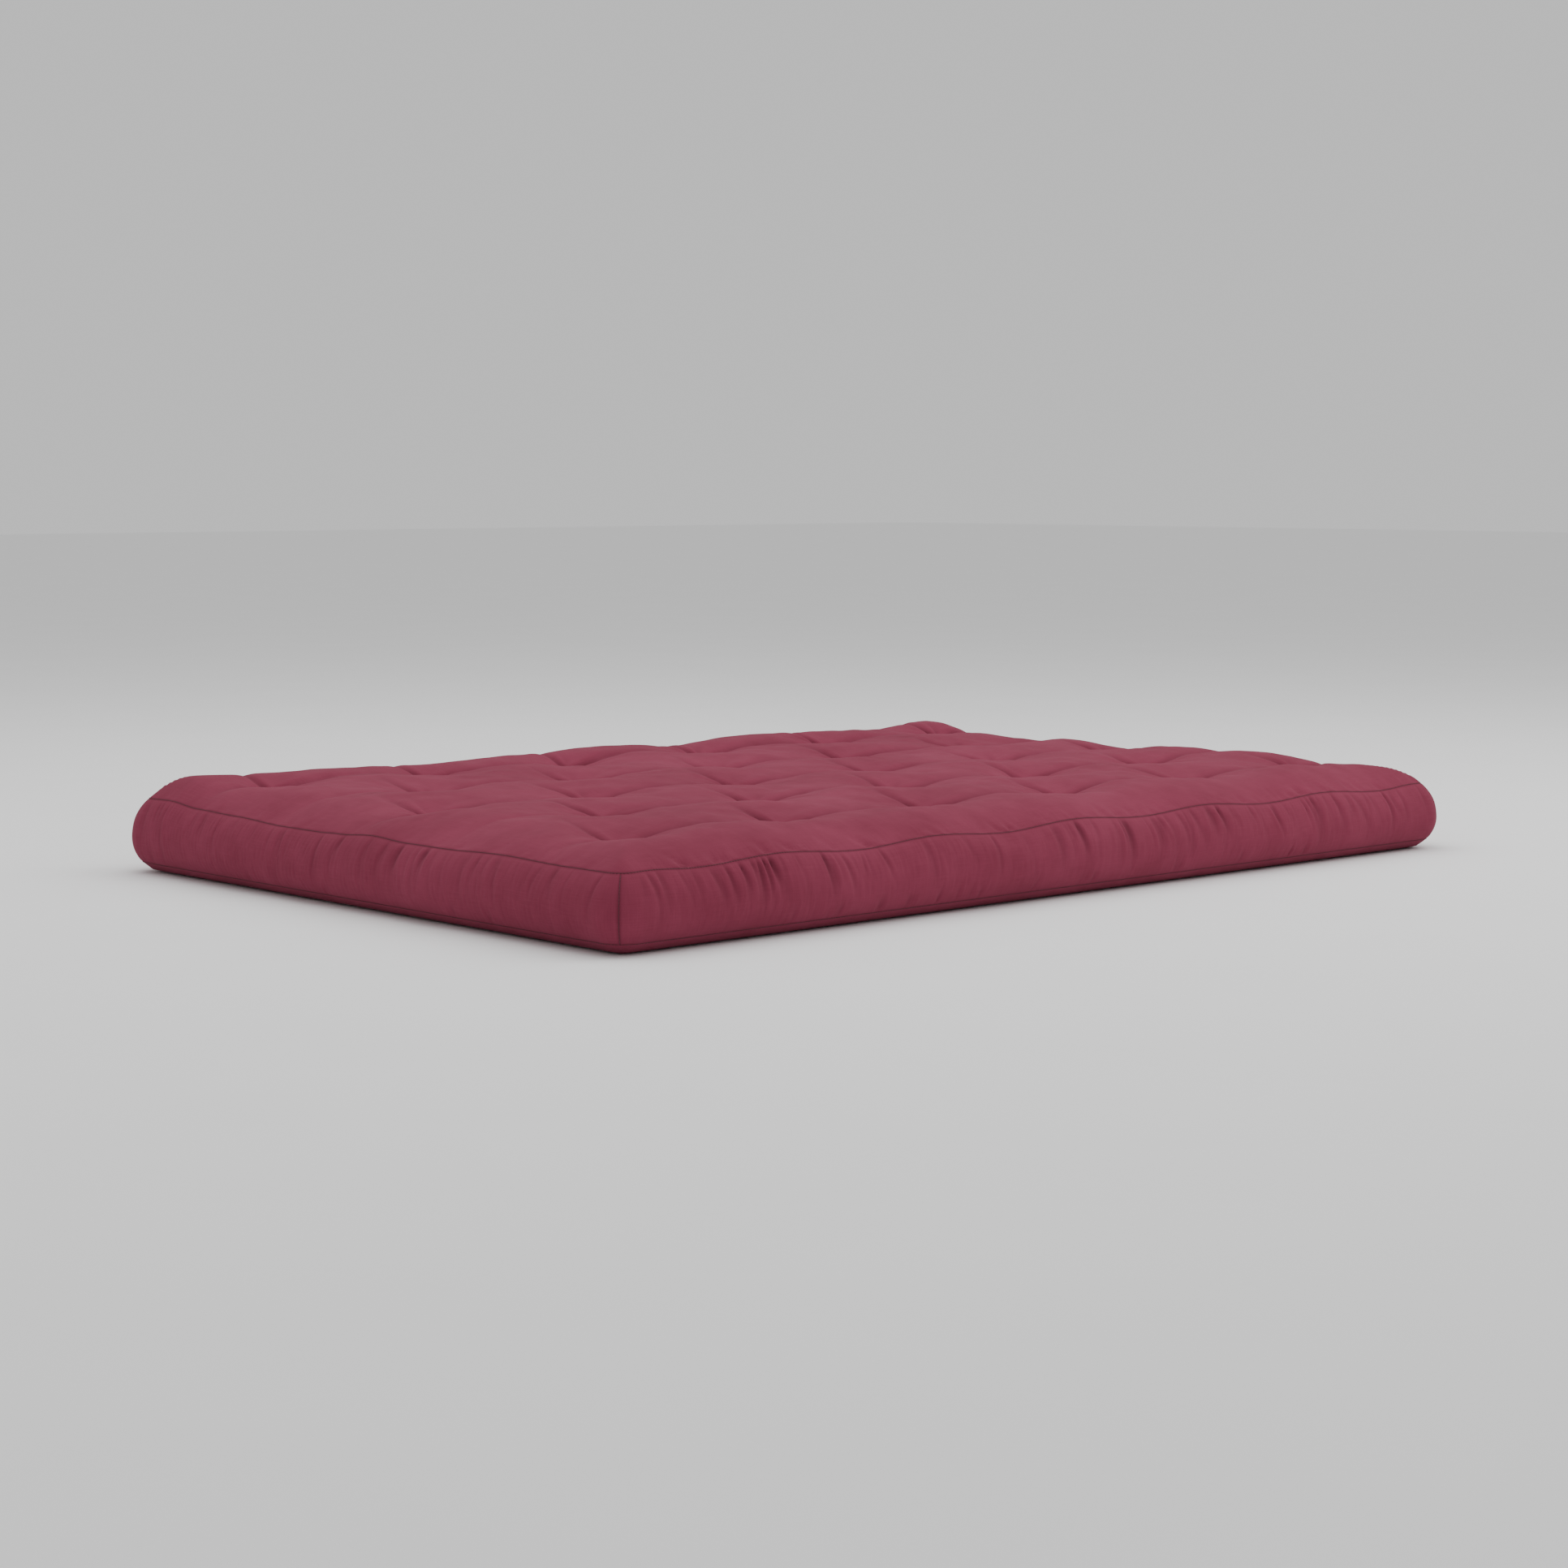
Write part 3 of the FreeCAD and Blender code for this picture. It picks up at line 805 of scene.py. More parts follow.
def piece_from(name: str, points: Array, faces: list[list[int]], flat: Array | None = None,
               hollow: Array | None = None) -> bpy.types.Object:
    """Makes an object from points and faces, smooth but for its sharp edges.

    Args:
        name: The piece's name.
        points: Its points.
        faces: Its faces.
        flat: Each point's place on the flat cloth or along a thread, if it has one.
        hollow: How much painted shade each point gets, in its creases and beside seams, if it is known.

    Returns:
        The object, linked to the scene.
    """
    mesh = bpy.data.meshes.new(name)
    mesh.from_pydata(points.tolist(), [], faces)
    if flat is not None:
        corners = np.zeros(len(mesh.loops), np.int32)
        mesh.loops.foreach_get("vertex_index", corners)
        layer = mesh.uv_layers.new(name=UV_NAME)
        layer.data.foreach_set("uv", flat[corners].astype(np.float32).ravel())
    # Keeps the painted shade as a point attribute, which the cloth's material reads.
    if hollow is not None:
        attribute = mesh.attributes.new(PAINTED_SHADE_NAME, "FLOAT", "POINT")
        attribute.data.foreach_set("value", hollow.astype(np.float32))
    mesh.shade_smooth()
    mesh.set_sharp_from_angle(angle=math.radians(55))
    mesh.update()
    piece = linked(name, mesh)
    LOG.info("%s: %d points, %d faces", name, len(mesh.vertices), len(mesh.polygons))
    return piece


# --------------------------------------------------------------------------------------------
# Finishes
# --------------------------------------------------------------------------------------------


class Board:
    """A node tree with short ways to add nodes and wires to it."""

    def __init__(self, tree: bpy.types.NodeTree) -> None:
        """Keeps the tree and empties it."""
        self.tree = tree
        tree.nodes.clear()

    def node(self, kind: str, **settings: object) -> bpy.types.Node:
        """Adds a node of a kind, with its settings."""
        made = self.tree.nodes.new(kind)
        for name, value in settings.items():
            setattr(made, name, value)
        return made

    def feed(self, target: bpy.types.NodeSocket, source: object) -> None:
        """Wires an output into a socket, or sets the socket to a plain value."""
        if isinstance(source, bpy.types.NodeSocket):
            self.tree.links.new(source, target)
        else:
            target.default_value = source

    def maths(self, operation: str, *values: object, clamp: bool = False) -> bpy.types.NodeSocket:
        """Adds a Math node and returns its result."""
        made = self.node("ShaderNodeMath", operation=operation, use_clamp=clamp)
        for socket, value in zip(made.inputs, values):
            self.feed(socket, value)
        return made.outputs[0]

    def weighed(
        self, first: object, share: float, second: object, other_share: float
    ) -> bpy.types.NodeSocket:
        """Adds two values, each times its own share."""
        one = self.maths("MULTIPLY", first, share)
        other = self.maths("MULTIPLY", second, other_share)
        return self.maths("ADD", one, other)

    def emboss(
        self, bump: bpy.types.Node, height: object, strength: float, distance: float
    ) -> None:
        """Gives a bump its height, its strength and its distance."""
        self.feed(bump.inputs["Height"], height)
        bump.inputs["Strength"].default_value = strength
        bump.inputs["Distance"].default_value = distance

    def mix(self, share: object, first: object, second: object) -> bpy.types.NodeSocket:
        """Adds a colour Mix node and returns its result."""
        made = self.node("ShaderNodeMix", data_type="RGBA")
        self.feed(made.inputs["Factor"], share)
        self.feed(made.inputs[6], first)
        self.feed(made.inputs[7], second)
        return made.outputs[2]

    def noise(
        self, vector: object, scale: float, detail: float, rough: float = 0.5
    ) -> bpy.types.NodeSocket:
        """Adds a Noise node and returns its value, from 0 to 1."""
        made = self.node("ShaderNodeTexNoise")
        self.feed(made.inputs["Vector"], vector)
        self.feed(made.inputs["Scale"], scale)
        self.feed(made.inputs["Detail"], detail)
        self.feed(made.inputs["Roughness"], rough)
        return made.outputs["Fac"]

    def stretched(self, vector: object, scale: tuple[float, float, float]) -> bpy.types.NodeSocket:
        """Adds a Mapping node that only scales, and returns its vector."""
        made = self.node("ShaderNodeMapping")
        self.feed(made.inputs["Vector"], vector)
        made.inputs["Scale"].default_value = scale
        return made.outputs["Vector"]

    def ranged(self, value: object, low: float, high: float, to_low: float = 0.0,
               to_high: float = 1.0) -> bpy.types.NodeSocket:
        """Adds a clamped Map Range node and returns its result."""
        made = self.node("ShaderNodeMapRange")
        for socket, number in zip(made.inputs, (value, low, high, to_low, to_high)):
            self.feed(socket, number)
        return made.outputs["Result"]


class Effects:
    """The effects that several finishes share, each a node group built once."""

    def __init__(self) -> None:
        """Builds the groups."""
        self.weave = self._weave()
        self.slubs = self._slubs()
        self.patches = self._patches()
        self.twist = self._twist()

    @staticmethod
    def _group(
        name: str, takes: dict[str, str], gives: tuple[str, ...]
    ) -> tuple[Board, bpy.types.Node, bpy.types.Node]:
        """Starts a group.

        Args:
            name: The group's name.
            takes: Its inputs and their kinds.
            gives: Its outputs, all numbers.

        Returns:
            The board to build on, the group's input node and its output node.
        """
        tree = bpy.data.node_groups.new(name, "ShaderNodeTree")
        for label, kind in takes.items():
            tree.interface.new_socket(label, in_out="INPUT", socket_type=kind)
        for label in gives:
            tree.interface.new_socket(label, in_out="OUTPUT", socket_type="NodeSocketFloat")
        board = Board(tree)
        return board, board.node("NodeGroupInput"), board.node("NodeGroupOutput")

    def _weave(self) -> bpy.types.NodeTree:
        """Plain weave: the product of two sines, one for the warp and one for the weft."""
        board, given, result = self._group(
            "plain_weave", {"Cloth": "NodeSocketVector", "Pitch": "NodeSocketFloat"}, ("Height",)
        )
        parts = board.node("ShaderNodeSeparateXYZ")
        board.feed(parts.inputs[0], given.outputs["Cloth"])
        turns = board.maths("DIVIDE", math.pi, given.outputs["Pitch"])
        warp = board.maths("SINE", board.maths("MULTIPLY", parts.outputs["X"], turns))
        weft = board.maths("SINE", board.maths("MULTIPLY", parts.outputs["Y"], turns))
        height = board.maths("MULTIPLY_ADD", board.maths("MULTIPLY", warp, weft), 0.5, 0.5)
        board.feed(result.inputs["Height"], height)
        return board.tree

    def _slubs(self) -> bpy.types.NodeTree:
        """Thick and thin yarns: two noises, each drawn out along one yarn direction."""
        board, given, result = self._group(
            "slub_yarns", {"Cloth": "NodeSocketVector", "Fineness": "NodeSocketFloat"}, ("Tone",)
        )
        tones = []
        for scale in ((22.0, 620.0, 1.0), (520.0, 18.0, 1.0)):
            drawn = board.stretched(given.outputs["Cloth"], scale)
            made = board.noise(drawn, 1.0, 2.0)
            board.feed(made.node.inputs["Scale"], given.outputs["Fineness"])
            tones.append(made)
        board.feed(
            result.inputs["Tone"], board.maths("MULTIPLY", board.maths("ADD", *tones), 0.5)
        )
        return board.tree

    def _patches(self) -> bpy.types.NodeTree:
        """Slow changes of shade: two noises, a large one and a small one."""
        board, given, result = self._group(
            "dye_patches", {"Place": "NodeSocketVector", "Size": "NodeSocketFloat"}, ("Tone",)
        )
        scale = board.maths("DIVIDE", 1.0, given.outputs["Size"])
        large = board.noise(given.outputs["Place"], 1.0, 2.0)
        board.feed(large.node.inputs["Scale"], scale)
        small = board.noise(given.outputs["Place"], 1.0, 3.0)
        board.feed(small.node.inputs["Scale"], board.maths("MULTIPLY", scale, 6.0))
        tone = board.weighed(large, 0.65, small, 0.35)
        board.feed(result.inputs["Tone"], tone)
        return board.tree

    def _twist(self) -> bpy.types.NodeTree:
        """Plied thread: a sine that climbs along the thread as it goes round it."""
        board, given, result = self._group(
            "plied_twist", {"Thread": "NodeSocketVector", "Lay": "NodeSocketFloat"}, ("Height",)
        )
        parts = board.node("ShaderNodeSeparateXYZ")
        board.feed(parts.inputs[0], given.outputs["Thread"])
        climb = board.maths("DIVIDE", parts.outputs["Y"], given.outputs["Lay"])
        phase = board.maths("MULTIPLY", board.maths("ADD", climb, parts.outputs["X"]), 2 * math.pi)
        height = board.maths("MULTIPLY_ADD", board.maths("SINE", phase), 0.5, 0.5)
        board.feed(result.inputs["Height"], height)
        return board.tree


@dataclass(frozen=True)
class Finish:
    """What every finish has: its name, its two shades and how rough it is."""

    name: str
    deep: Colour
    pale: Colour
    rough: float

    def start(self) -> tuple[bpy.types.Material, Board, bpy.types.Node, bpy.types.Node]:
        """Makes the material with its shader and a bump, and returns them."""
        material = bpy.data.materials.new(self.name)
        material.use_nodes = True
        board = Board(material.node_tree)
        output = board.node("ShaderNodeOutputMaterial")
        shader = board.node("ShaderNodeBsdfPrincipled")
        bump = board.node("ShaderNodeBump")
        board.feed(output.inputs["Surface"], shader.outputs[0])
        board.feed(shader.inputs["Normal"], bump.outputs[0])
        shader.inputs["Roughness"].default_value = self.rough
        return material, board, shader, bump

    def place(
        self, board: Board, group: bpy.types.NodeTree, **values: object
    ) -> bpy.types.NodeSocket:
        """Places a shared effect with its values and returns what it puts out."""
        made = board.node("ShaderNodeGroup", node_tree=group)
        for label, value in values.items():
            board.feed(made.inputs[label], value)
        return made.outputs[0]

    def shades(self) -> tuple[tuple[float, ...], tuple[float, ...]]:
        """The two shades with their alpha."""
        return (*self.deep, 1.0), (*self.pale, 1.0)


@dataclass(frozen=True)
class CottonCloth(Finish):
    """Dyed plain-woven cotton: a fine weave, slubs, slow patches, and painted shade in its creases and
    beside its seams.
    """

    # The deep colour of the painted shade in the creases and beside the seams.
    crease: Colour = (0.055, 0.007, 0.014)
    pitch: float = 0.0011
    patch: float = 0.22
    sheen: float = 0.03

    def make(self, effects: Effects) -> bpy.types.Material:
        """Builds the material on the cloth's own flat places."""
        material, board, shader, bump = self.start()
        cloth = board.node("ShaderNodeUVMap", uv_map=UV_NAME).outputs["UV"]
        place = board.node("ShaderNodeTexCoord").outputs["Object"]
        weave = self.place(board, effects.weave, Cloth=cloth, Pitch=self.pitch)
        slubs = self.place(board, effects.slubs, Cloth=cloth, Fineness=1.0)
        patches = self.place(board, effects.patches, Place=place, Size=self.patch)
        # Reads how much painted shade each point gets, in its creases and beside its seams.
        hollow = board.node("ShaderNodeAttribute", attribute_name=PAINTED_SHADE_NAME).outputs["Fac"]
        tone = board.weighed(slubs, 0.35, patches, 0.65)
        share = board.ranged(tone, 0.36, 0.64)
        deep, pale = self.shades()
        colour = board.mix(share, deep, pale)
        # Painted shade: the colour goes towards the deep shade colour in the creases and beside the
        # seams.
        colour = board.mix(board.maths("MULTIPLY", hollow, 0.55), colour, (*self.crease, 1.0))
        board.feed(shader.inputs["Base Color"], colour)
        rough = board.ranged(tone, 0.35, 0.65, self.rough + 0.05, self.rough - 0.05)
        board.feed(shader.inputs["Roughness"], rough)
        shader.inputs["Sheen Weight"].default_value = self.sheen
        shader.inputs["Sheen Roughness"].default_value = 0.55
        shader.inputs["Sheen Tint"].default_value = (1.0, 0.72, 0.78, 1.0)
        shader.inputs["Specular IOR Level"].default_value = 0.06
        board.emboss(bump, board.weighed(weave, 0.35, slubs, 0.9), 0.45, 0.0005)
        return material


@dataclass(frozen=True)
class FibreFelt(Finish):
    """Carded cotton felt: tangled fibres with darker flecks in them."""

    def make(self, effects: Effects) -> bpy.types.Material:
        """Builds the material on places in the piece."""
        material, board, shader, bump = self.start()
        place = board.node("ShaderNodeTexCoord").outputs["Object"]
        patches = self.place(board, effects.patches, Place=place, Size=0.08)
        fibres = board.noise(board.stretched(place, (1.0, 0.35, 1.6)), 420.0, 5.0, 0.65)
        flecks = board.ranged(board.noise(place, 160.0, 1.0), 0.66, 0.72)
        deep, pale = self.shades()
        tone = board.ranged(board.maths("ADD", patches, fibres), 0.75, 1.25)
        colour = board.mix(tone, deep, pale)
        colour = board.mix(board.maths("MULTIPLY", flecks, 0.5), colour, (0.16, 0.11, 0.08, 1.0))
        board.feed(shader.inputs["Base Color"], colour)
        board.emboss(bump, fibres, 0.7, 0.0015)
        return material


@dataclass(frozen=True)
class OpenCellFoam(Finish):
    """Cut polyurethane foam: small open cells and slow yellowing."""

    def make(self, effects: Effects) -> bpy.types.Material:
        """Builds the material on places in the piece."""
        material, board, shader, bump = self.start()
        place = board.node("ShaderNodeTexCoord").outputs["Object"]
        patches = self.place(board, effects.patches, Place=place, Size=0.15)
        cells = board.node("ShaderNodeTexVoronoi", feature="F1")
        board.feed(cells.inputs["Vector"], place)
        cells.inputs["Scale"].default_value = 520.0
        hole = board.ranged(cells.outputs["Distance"], 0.15, 0.75)
        deep, pale = self.shades()
        colour = board.mix(patches, deep, pale)
        colour = board.mix(board.maths("MULTIPLY", hole, 0.3), colour, (*self.deep, 1.0))
        board.feed(shader.inputs["Base Color"], colour)
        board.emboss(bump, hole, 0.5, 0.0008)
        return material


@dataclass(frozen=True)
class PliedThread(Finish):
    """Twisted thread or twine: plies that wind round it, with painted shade deep in the grooves between
    them and pale on their crests, and a little fuzz in the shade.
    """

    lay: float = 0.0016

    def make(self, effects: Effects) -> bpy.types.Material:
        """Builds the material on the thread's own length and turn."""
        material, board, shader, bump = self.start()
        along = board.node("ShaderNodeUVMap", uv_map=UV_NAME).outputs["UV"]
        place = board.node("ShaderNodeTexCoord").outputs["Object"]
        twist = self.place(board, effects.twist, Thread=along, Lay=self.lay)
        fuzz = board.noise(place, 900.0, 3.0)
        deep, pale = self.shades()
        # Painted shade: the colour follows the plies' relief, deep in their grooves and pale on their
        # crests.
        tone = board.weighed(twist, 0.6, fuzz, 0.4)
        board.feed(shader.inputs["Base Color"], board.mix(tone, deep, pale))
        board.emboss(bump, twist, 0.6, 0.0003)
        return material


# --------------------------------------------------------------------------------------------
# The pieces
# --------------------------------------------------------------------------------------------


def bend_at_fold(piece: bpy.types.Object) -> None:
    """Bakes a piece's transform into its mesh."""
    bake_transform(piece)


def dress(piece: bpy.types.Object, material: bpy.types.Material) -> None:
    """Gives a piece its material."""
    piece.data.materials.append(material)


@dataclass(frozen=True)
class Gathers:
    """The small wrinkles that a seam gathers into one side of the mattress."""

    side: Side
    seed: int
    strength: float
    count: int
    striping: float
    lean: float = 0.10


@dataclass(frozen=True)
class Spoke:
    """One crease that runs out from a tie: its way, reach, depth, width, spread and bend."""

    turn: float
    reach: float
    depth: float
    width: float
    spread: float
    bend: float

    def depth_at(self, dx: Array, dy: Array) -> Array:
        """The crease's depth at places measured from its tie.

        Along it the depth fades as exp(-(a / reach)^1.4), and across it as exp(-u^1.15) with
        a low ridge at u = 2.3, where u is the distance in widths.

        Args:
            dx: Places from the tie along the mattress.
            dy: Places from the tie across it.

        Returns:
            The depth at each place.
        """
        a = dx * math.cos(self.turn) + dy * math.sin(self.turn)
        c = dy * math.cos(self.turn) - dx * math.sin(self.turn)
        ahead = np.maximum(a, 0)
        c = c - self.bend * ahead * ahead / self.reach
        u = np.abs(c) / (self.width + self.spread * ahead)
        along = np.exp(-((ahead / self.reach) ** 1.4)) * smooth_step(a / 0.010 + 0.4)
        return self.depth * along * (np.exp(-(u**1.15)) - 0.22 * np.exp(-((u - 2.3) ** 2)))


@dataclass
class Cover:
    """The cotton cover: an upper and a lower panel, and a border along each side."""

    shape: MattressShape
    cloth: bpy.types.Material
    top_step: float = 0.0060
    top_step_across: float = 0.0062
    bottom_step: float = 0.012
    border_step: float = 0.0027
    border_edge: tuple[float, ...] = (0, 0.012, 0.028, 0.05, 0.08, 0.12)
    edge: tuple[float, ...] = (0.0, 0.0012, 0.003, 0.006)
    made_top: Array | None = None

    ROOM_X = 0.26
    ROOM_Y = 0.17
    SHADE = 0.95
    SHADE_REACH = 0.0013
    CREST = 0.161
    CREST_ROOM = 0.0065
    GATHERS = (
        Gathers(Side.FRONT, 11, 1.0, 190, 0.00011),
        Gathers(Side.RIGHT, 12, 0.8, 100, 0.00010),
        Gathers(Side.REAR, 13, 0.9, 170, 0.00011),
        Gathers(Side.LEFT, 14, 0.62, 90, 0.00015),
    )
    FOLDS = (
        Fold(Side.FRONT, -0.766, 0.0048),
        Fold(Side.FRONT, -0.572, 0.0040, 0.0045),
        Fold(Side.FRONT, 0.592, 0.0042, 0.0045, 0.010),
        Fold(Side.FRONT, 0.816, 0.0054, 0.0042, 0.004, 0.85),
        Fold(Side.LEFT, -0.030, 0.0040, 0.006, -0.012, 0.5),
        Fold(Side.LEFT, 0.131, 0.0050, 0.007, -0.014, 0.6),
        Fold(Side.LEFT, 0.196, 0.0036, 0.006, -0.010, 0.5),
        Fold(Side.RIGHT, -0.31, 0.0050),
        Fold(Side.RIGHT, 0.27, 0.0042),
        Fold(Side.REAR, -0.62, 0.0055),
        Fold(Side.REAR, 0.33, 0.0060),
    )

    def spokes(self, x: Array, y: Array, plan_x: Array, plan_y: Array) -> Array:
        """How deep the creases that run out from every tie are, all the spokes added up.

        Args:
            x: The grid lines along the mattress.
            y: The grid lines across it.
            plan_x: The plan positions of the grid.
            plan_y: The plan positions of the grid.

        Returns:
            Depths over the whole grid.
        """
        rng = np.random.default_rng(5)
        drop = np.zeros(plan_x.shape)
        for tie_x, tie_y in self.shape.sizes.tufts():
            columns = slice(*np.searchsorted(x, (tie_x - self.ROOM_X, tie_x + self.ROOM_X)))
            rows = slice(*np.searchsorted(y, (tie_y - self.ROOM_Y, tie_y + self.ROOM_Y)))
            dx = plan_x[rows, columns] - tie_x
            dy = plan_y[rows, columns] - tie_y
            for spoke in self._spokes_of(rng):
                drop[rows, columns] += spoke.depth_at(dx, dy)
        return drop

    @staticmethod
    def _spokes_of(rng: np.random.Generator) -> list[Spoke]:
        """Draws one tie's spokes: one each to the right, left, back and front, and six to nine more."""
        vary = rng.uniform(-1, 1, 8)
        back = math.pi / 2 + 0.18 + 0.14 * vary[5]
        spokes = [
            Spoke(0.05 * vary[0], 0.150 + 0.035 * vary[1], 0.0068, 0.0048, 0.075, 0.05 * vary[2]),
            Spoke(math.pi + 0.12 * vary[3], 0.100 + 0.030 * vary[4], 0.0052, 0.0050, 0.085, 0.10),
            Spoke(back, 0.086 + 0.014 * vary[6], 0.0086, 0.0036, 0.055, -0.14),
            Spoke(-math.pi / 2 + 0.25 * vary[7], 0.045, 0.0050, 0.0042, 0.080, 0.10),
        ]
        least = (0, 0.026, 0.0016, -0.25)
        most = (2 * math.pi, 0.074, 0.0038, 0.25)
        for _ in range(int(rng.integers(6, 10))):
            turn, reach, depth, bend = rng.uniform(least, most)
            spokes.append(Spoke(turn, reach, depth, 0.0030, 0.06, bend))
        return spokes

    def puckers(self, x: Array, y: Array) -> Array:
        """How deep the slanting puckers on the upper panel beside its seam are.

        Each starts at the seam, leans along it as it runs inwards, and fades by its own length.

        Args:
            x: The grid lines along the mattress.
            y: The grid lines across it.

        Returns:
            Depths over the whole grid.
        """
        drop = np.zeros((len(y), len(x)))
        for gathers in self.GATHERS:
            rng = np.random.default_rng(gathers.seed + 40)
            half = self.shape.half_of(gathers.side)
            long_side = gathers.side in (Side.FRONT, Side.REAR)
            sign = -1.0 if gathers.side in (Side.FRONT, Side.LEFT) else 1.0
            across, along = (y, x) if long_side else (x, y)
            limit = self.shape.sizes.half_depth if long_side else self.shape.sizes.half_length
            inwards = limit - sign * across
            near = np.nonzero(inwards < 0.09)[0]
            depth_in = inwards[near][:, None]
            side_drop = np.zeros((len(near), len(along)))
            count = int(gathers.count * 0.9)
            place = rng.uniform(-half + 0.03, half - 0.03, count)
            lean = rng.normal(-0.35, 0.45, count)
            width = rng.uniform(0.0045, 0.0085, count)
            depth = rng.uniform(0.0005, 0.0019, count) * gathers.strength
            length = rng.uniform(0.014, 0.055, count)
            for c, slant, w, d, reach in zip(place, lean, width, depth, length):
                columns = slice(*np.searchsorted(along, (c - 0.09, c + 0.09)))
                offset = np.abs(along[columns][None] - c - slant * depth_in) / w
                fade = smooth_step(depth_in / 0.006) * (1 - smooth_step(depth_in / reach))
                profile = np.exp(-(offset**1.4)) - 0.3 * np.exp(-((offset - 2) ** 2))
                side_drop[:, columns] += d * fade * profile
            if long_side:
                drop[near] += side_drop
            else:
                drop[:, near] += side_drop.T
        return drop

    def seam_shade(self, distance: Array) -> Array:
        """How dark the cloth is beside a seam: shade times exp(-(distance / reach)^2)."""
        return self.SHADE * np.exp(-((distance / self.SHADE_REACH) ** 2))

    def seam_pull(self, surface: Array, distance: Array) -> Array:
        """How far points near a seam are drawn in by it: pull times exp(-(distance / reach)^2)."""
        s = self.shape.sizes
        inner = np.array([s.half_length - s.corner_radius, s.half_depth - s.corner_radius])
        out = surface[..., :2] - np.clip(surface[..., :2], -inner, inner)
        out = out / np.maximum(np.linalg.norm(out, axis=-1, keepdims=True), 1e-6)
        amount = self.shape.PULL * np.exp(-((distance / self.shape.PULL_REACH) ** 2))
        return np.concatenate([-out * amount[..., None], np.zeros((*distance.shape, 1))], -1)

    def top_surface(self, x: Array, y: Array) -> tuple[Array, Array]:
        """The upper panel's finished outer surface, and how much painted shade its creases and seam get.

        Args:
            x: The flat grid lines along the mattress.
            y: The flat grid lines across it.

        Returns:
            Points, and painted shade from 0 to 1.
        """
        shape = self.shape
        base = shape.smooth_top(x, y)
        inset = shape.inset(base[..., 0], base[..., 1])
        inside = smooth_step(inset / 0.10)
        slow = 0.0034 * ripples(base, 0.20, 0.55, 26, 3) + 0.0011 * ripples(base, 0.05, 0.12, 40, 4)
        creases = self.spokes(x, y, base[..., 0], base[..., 1]) * smooth_step(inset / 0.05)
        drop = creases + self.puckers(x, y)
        moved = base + normals_of(base) * ((slow * inside) - drop)[..., None]
        moved = moved + self.seam_pull(base, inset)
        over = np.maximum(moved[..., 2] - self.CREST, 0)
        moved[..., 2] -= over - self.CREST_ROOM * np.tanh(over / self.CREST_ROOM)
        # The second result is painted shade: the creases' depth and the shade painted beside the seam.
        return moved, np.clip(creases / 0.008 + self.seam_shade(inset), 0, 1)

    def panel_lines(self, step_x: float, step_y: float) -> tuple[Array, Array]:
        """A panel's flat grid lines both ways, closer together at the ties and the rim."""
        s = self.shape.sizes
        ties = s.tufts().round(6)
        x = graded_lines(s.half_length, step_x, np.unique(ties[:, 0]), self.edge)
        y = graded_lines(s.half_depth, step_y, np.unique(ties[:, 1]), self.edge)
        return x, y

    def make_top(self) -> bpy.types.Object:
        """Makes the upper panel, in one piece from front to rear."""
        s = self.shape.sizes
        x, y = self.panel_lines(self.top_step, self.top_step_across)
        outer, hollow = self.top_surface(x, y)
        self.made_top = outer
        smooth = self.shape.smooth_top(x, y)
        inset = self.shape.inset(smooth[..., 0], smooth[..., 1])
        depth = s.cloth + s.batting * smooth_step(inset / 0.03)
        inner = smooth - normals_of(smooth) * depth[..., None]
        inner = inner + self.seam_pull(smooth, inset)
        shell = Shell.between(outer, inner[::4, ::4], np.stack(np.meshgrid(x, y), -1), hollow)
        piece = shell.piece("cover_top")
        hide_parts("seat_cover_top", "back_cover_top")
        return piece

    def height_at(self, places: Array) -> Array:
        """The finished upper panel's height at the grid point nearest each plan position."""
        apart = self.made_top[None, ..., :2] - places[:, None, None]
        nearest = (apart**2).sum(-1).reshape(len(places), -1).argmin(1)
        return self.made_top[..., 2].ravel()[nearest]

    def make_bottom(self) -> bpy.types.Object:
        """Makes the lower panel, flat on the floor but for its curled rim and the ties."""
        s = self.shape.sizes
        x, y = self.panel_lines(self.bottom_step, self.bottom_step)
        base = self.shape.base_panel(Face.BOTTOM, x, y)
        inset = self.shape.inset(base[..., 0], base[..., 1])
        base[..., 2] += 0.0005 * smooth_step(inset / 0.05) * (1 + ripples(base, 0.06, 0.2, 30, 6))
        outer = base + self.seam_pull(base, inset)
        inner = outer + normals_of(base) * s.cloth
        flat = np.stack(np.meshgrid(x, y), -1)
        turned = [a[:, ::-1] for a in (outer, inner, flat)]
        shell = Shell.between(*turned)
        piece = shell.piece("cover_bottom")
        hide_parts("seat_cover_bottom", "back_cover_bottom")
        return piece

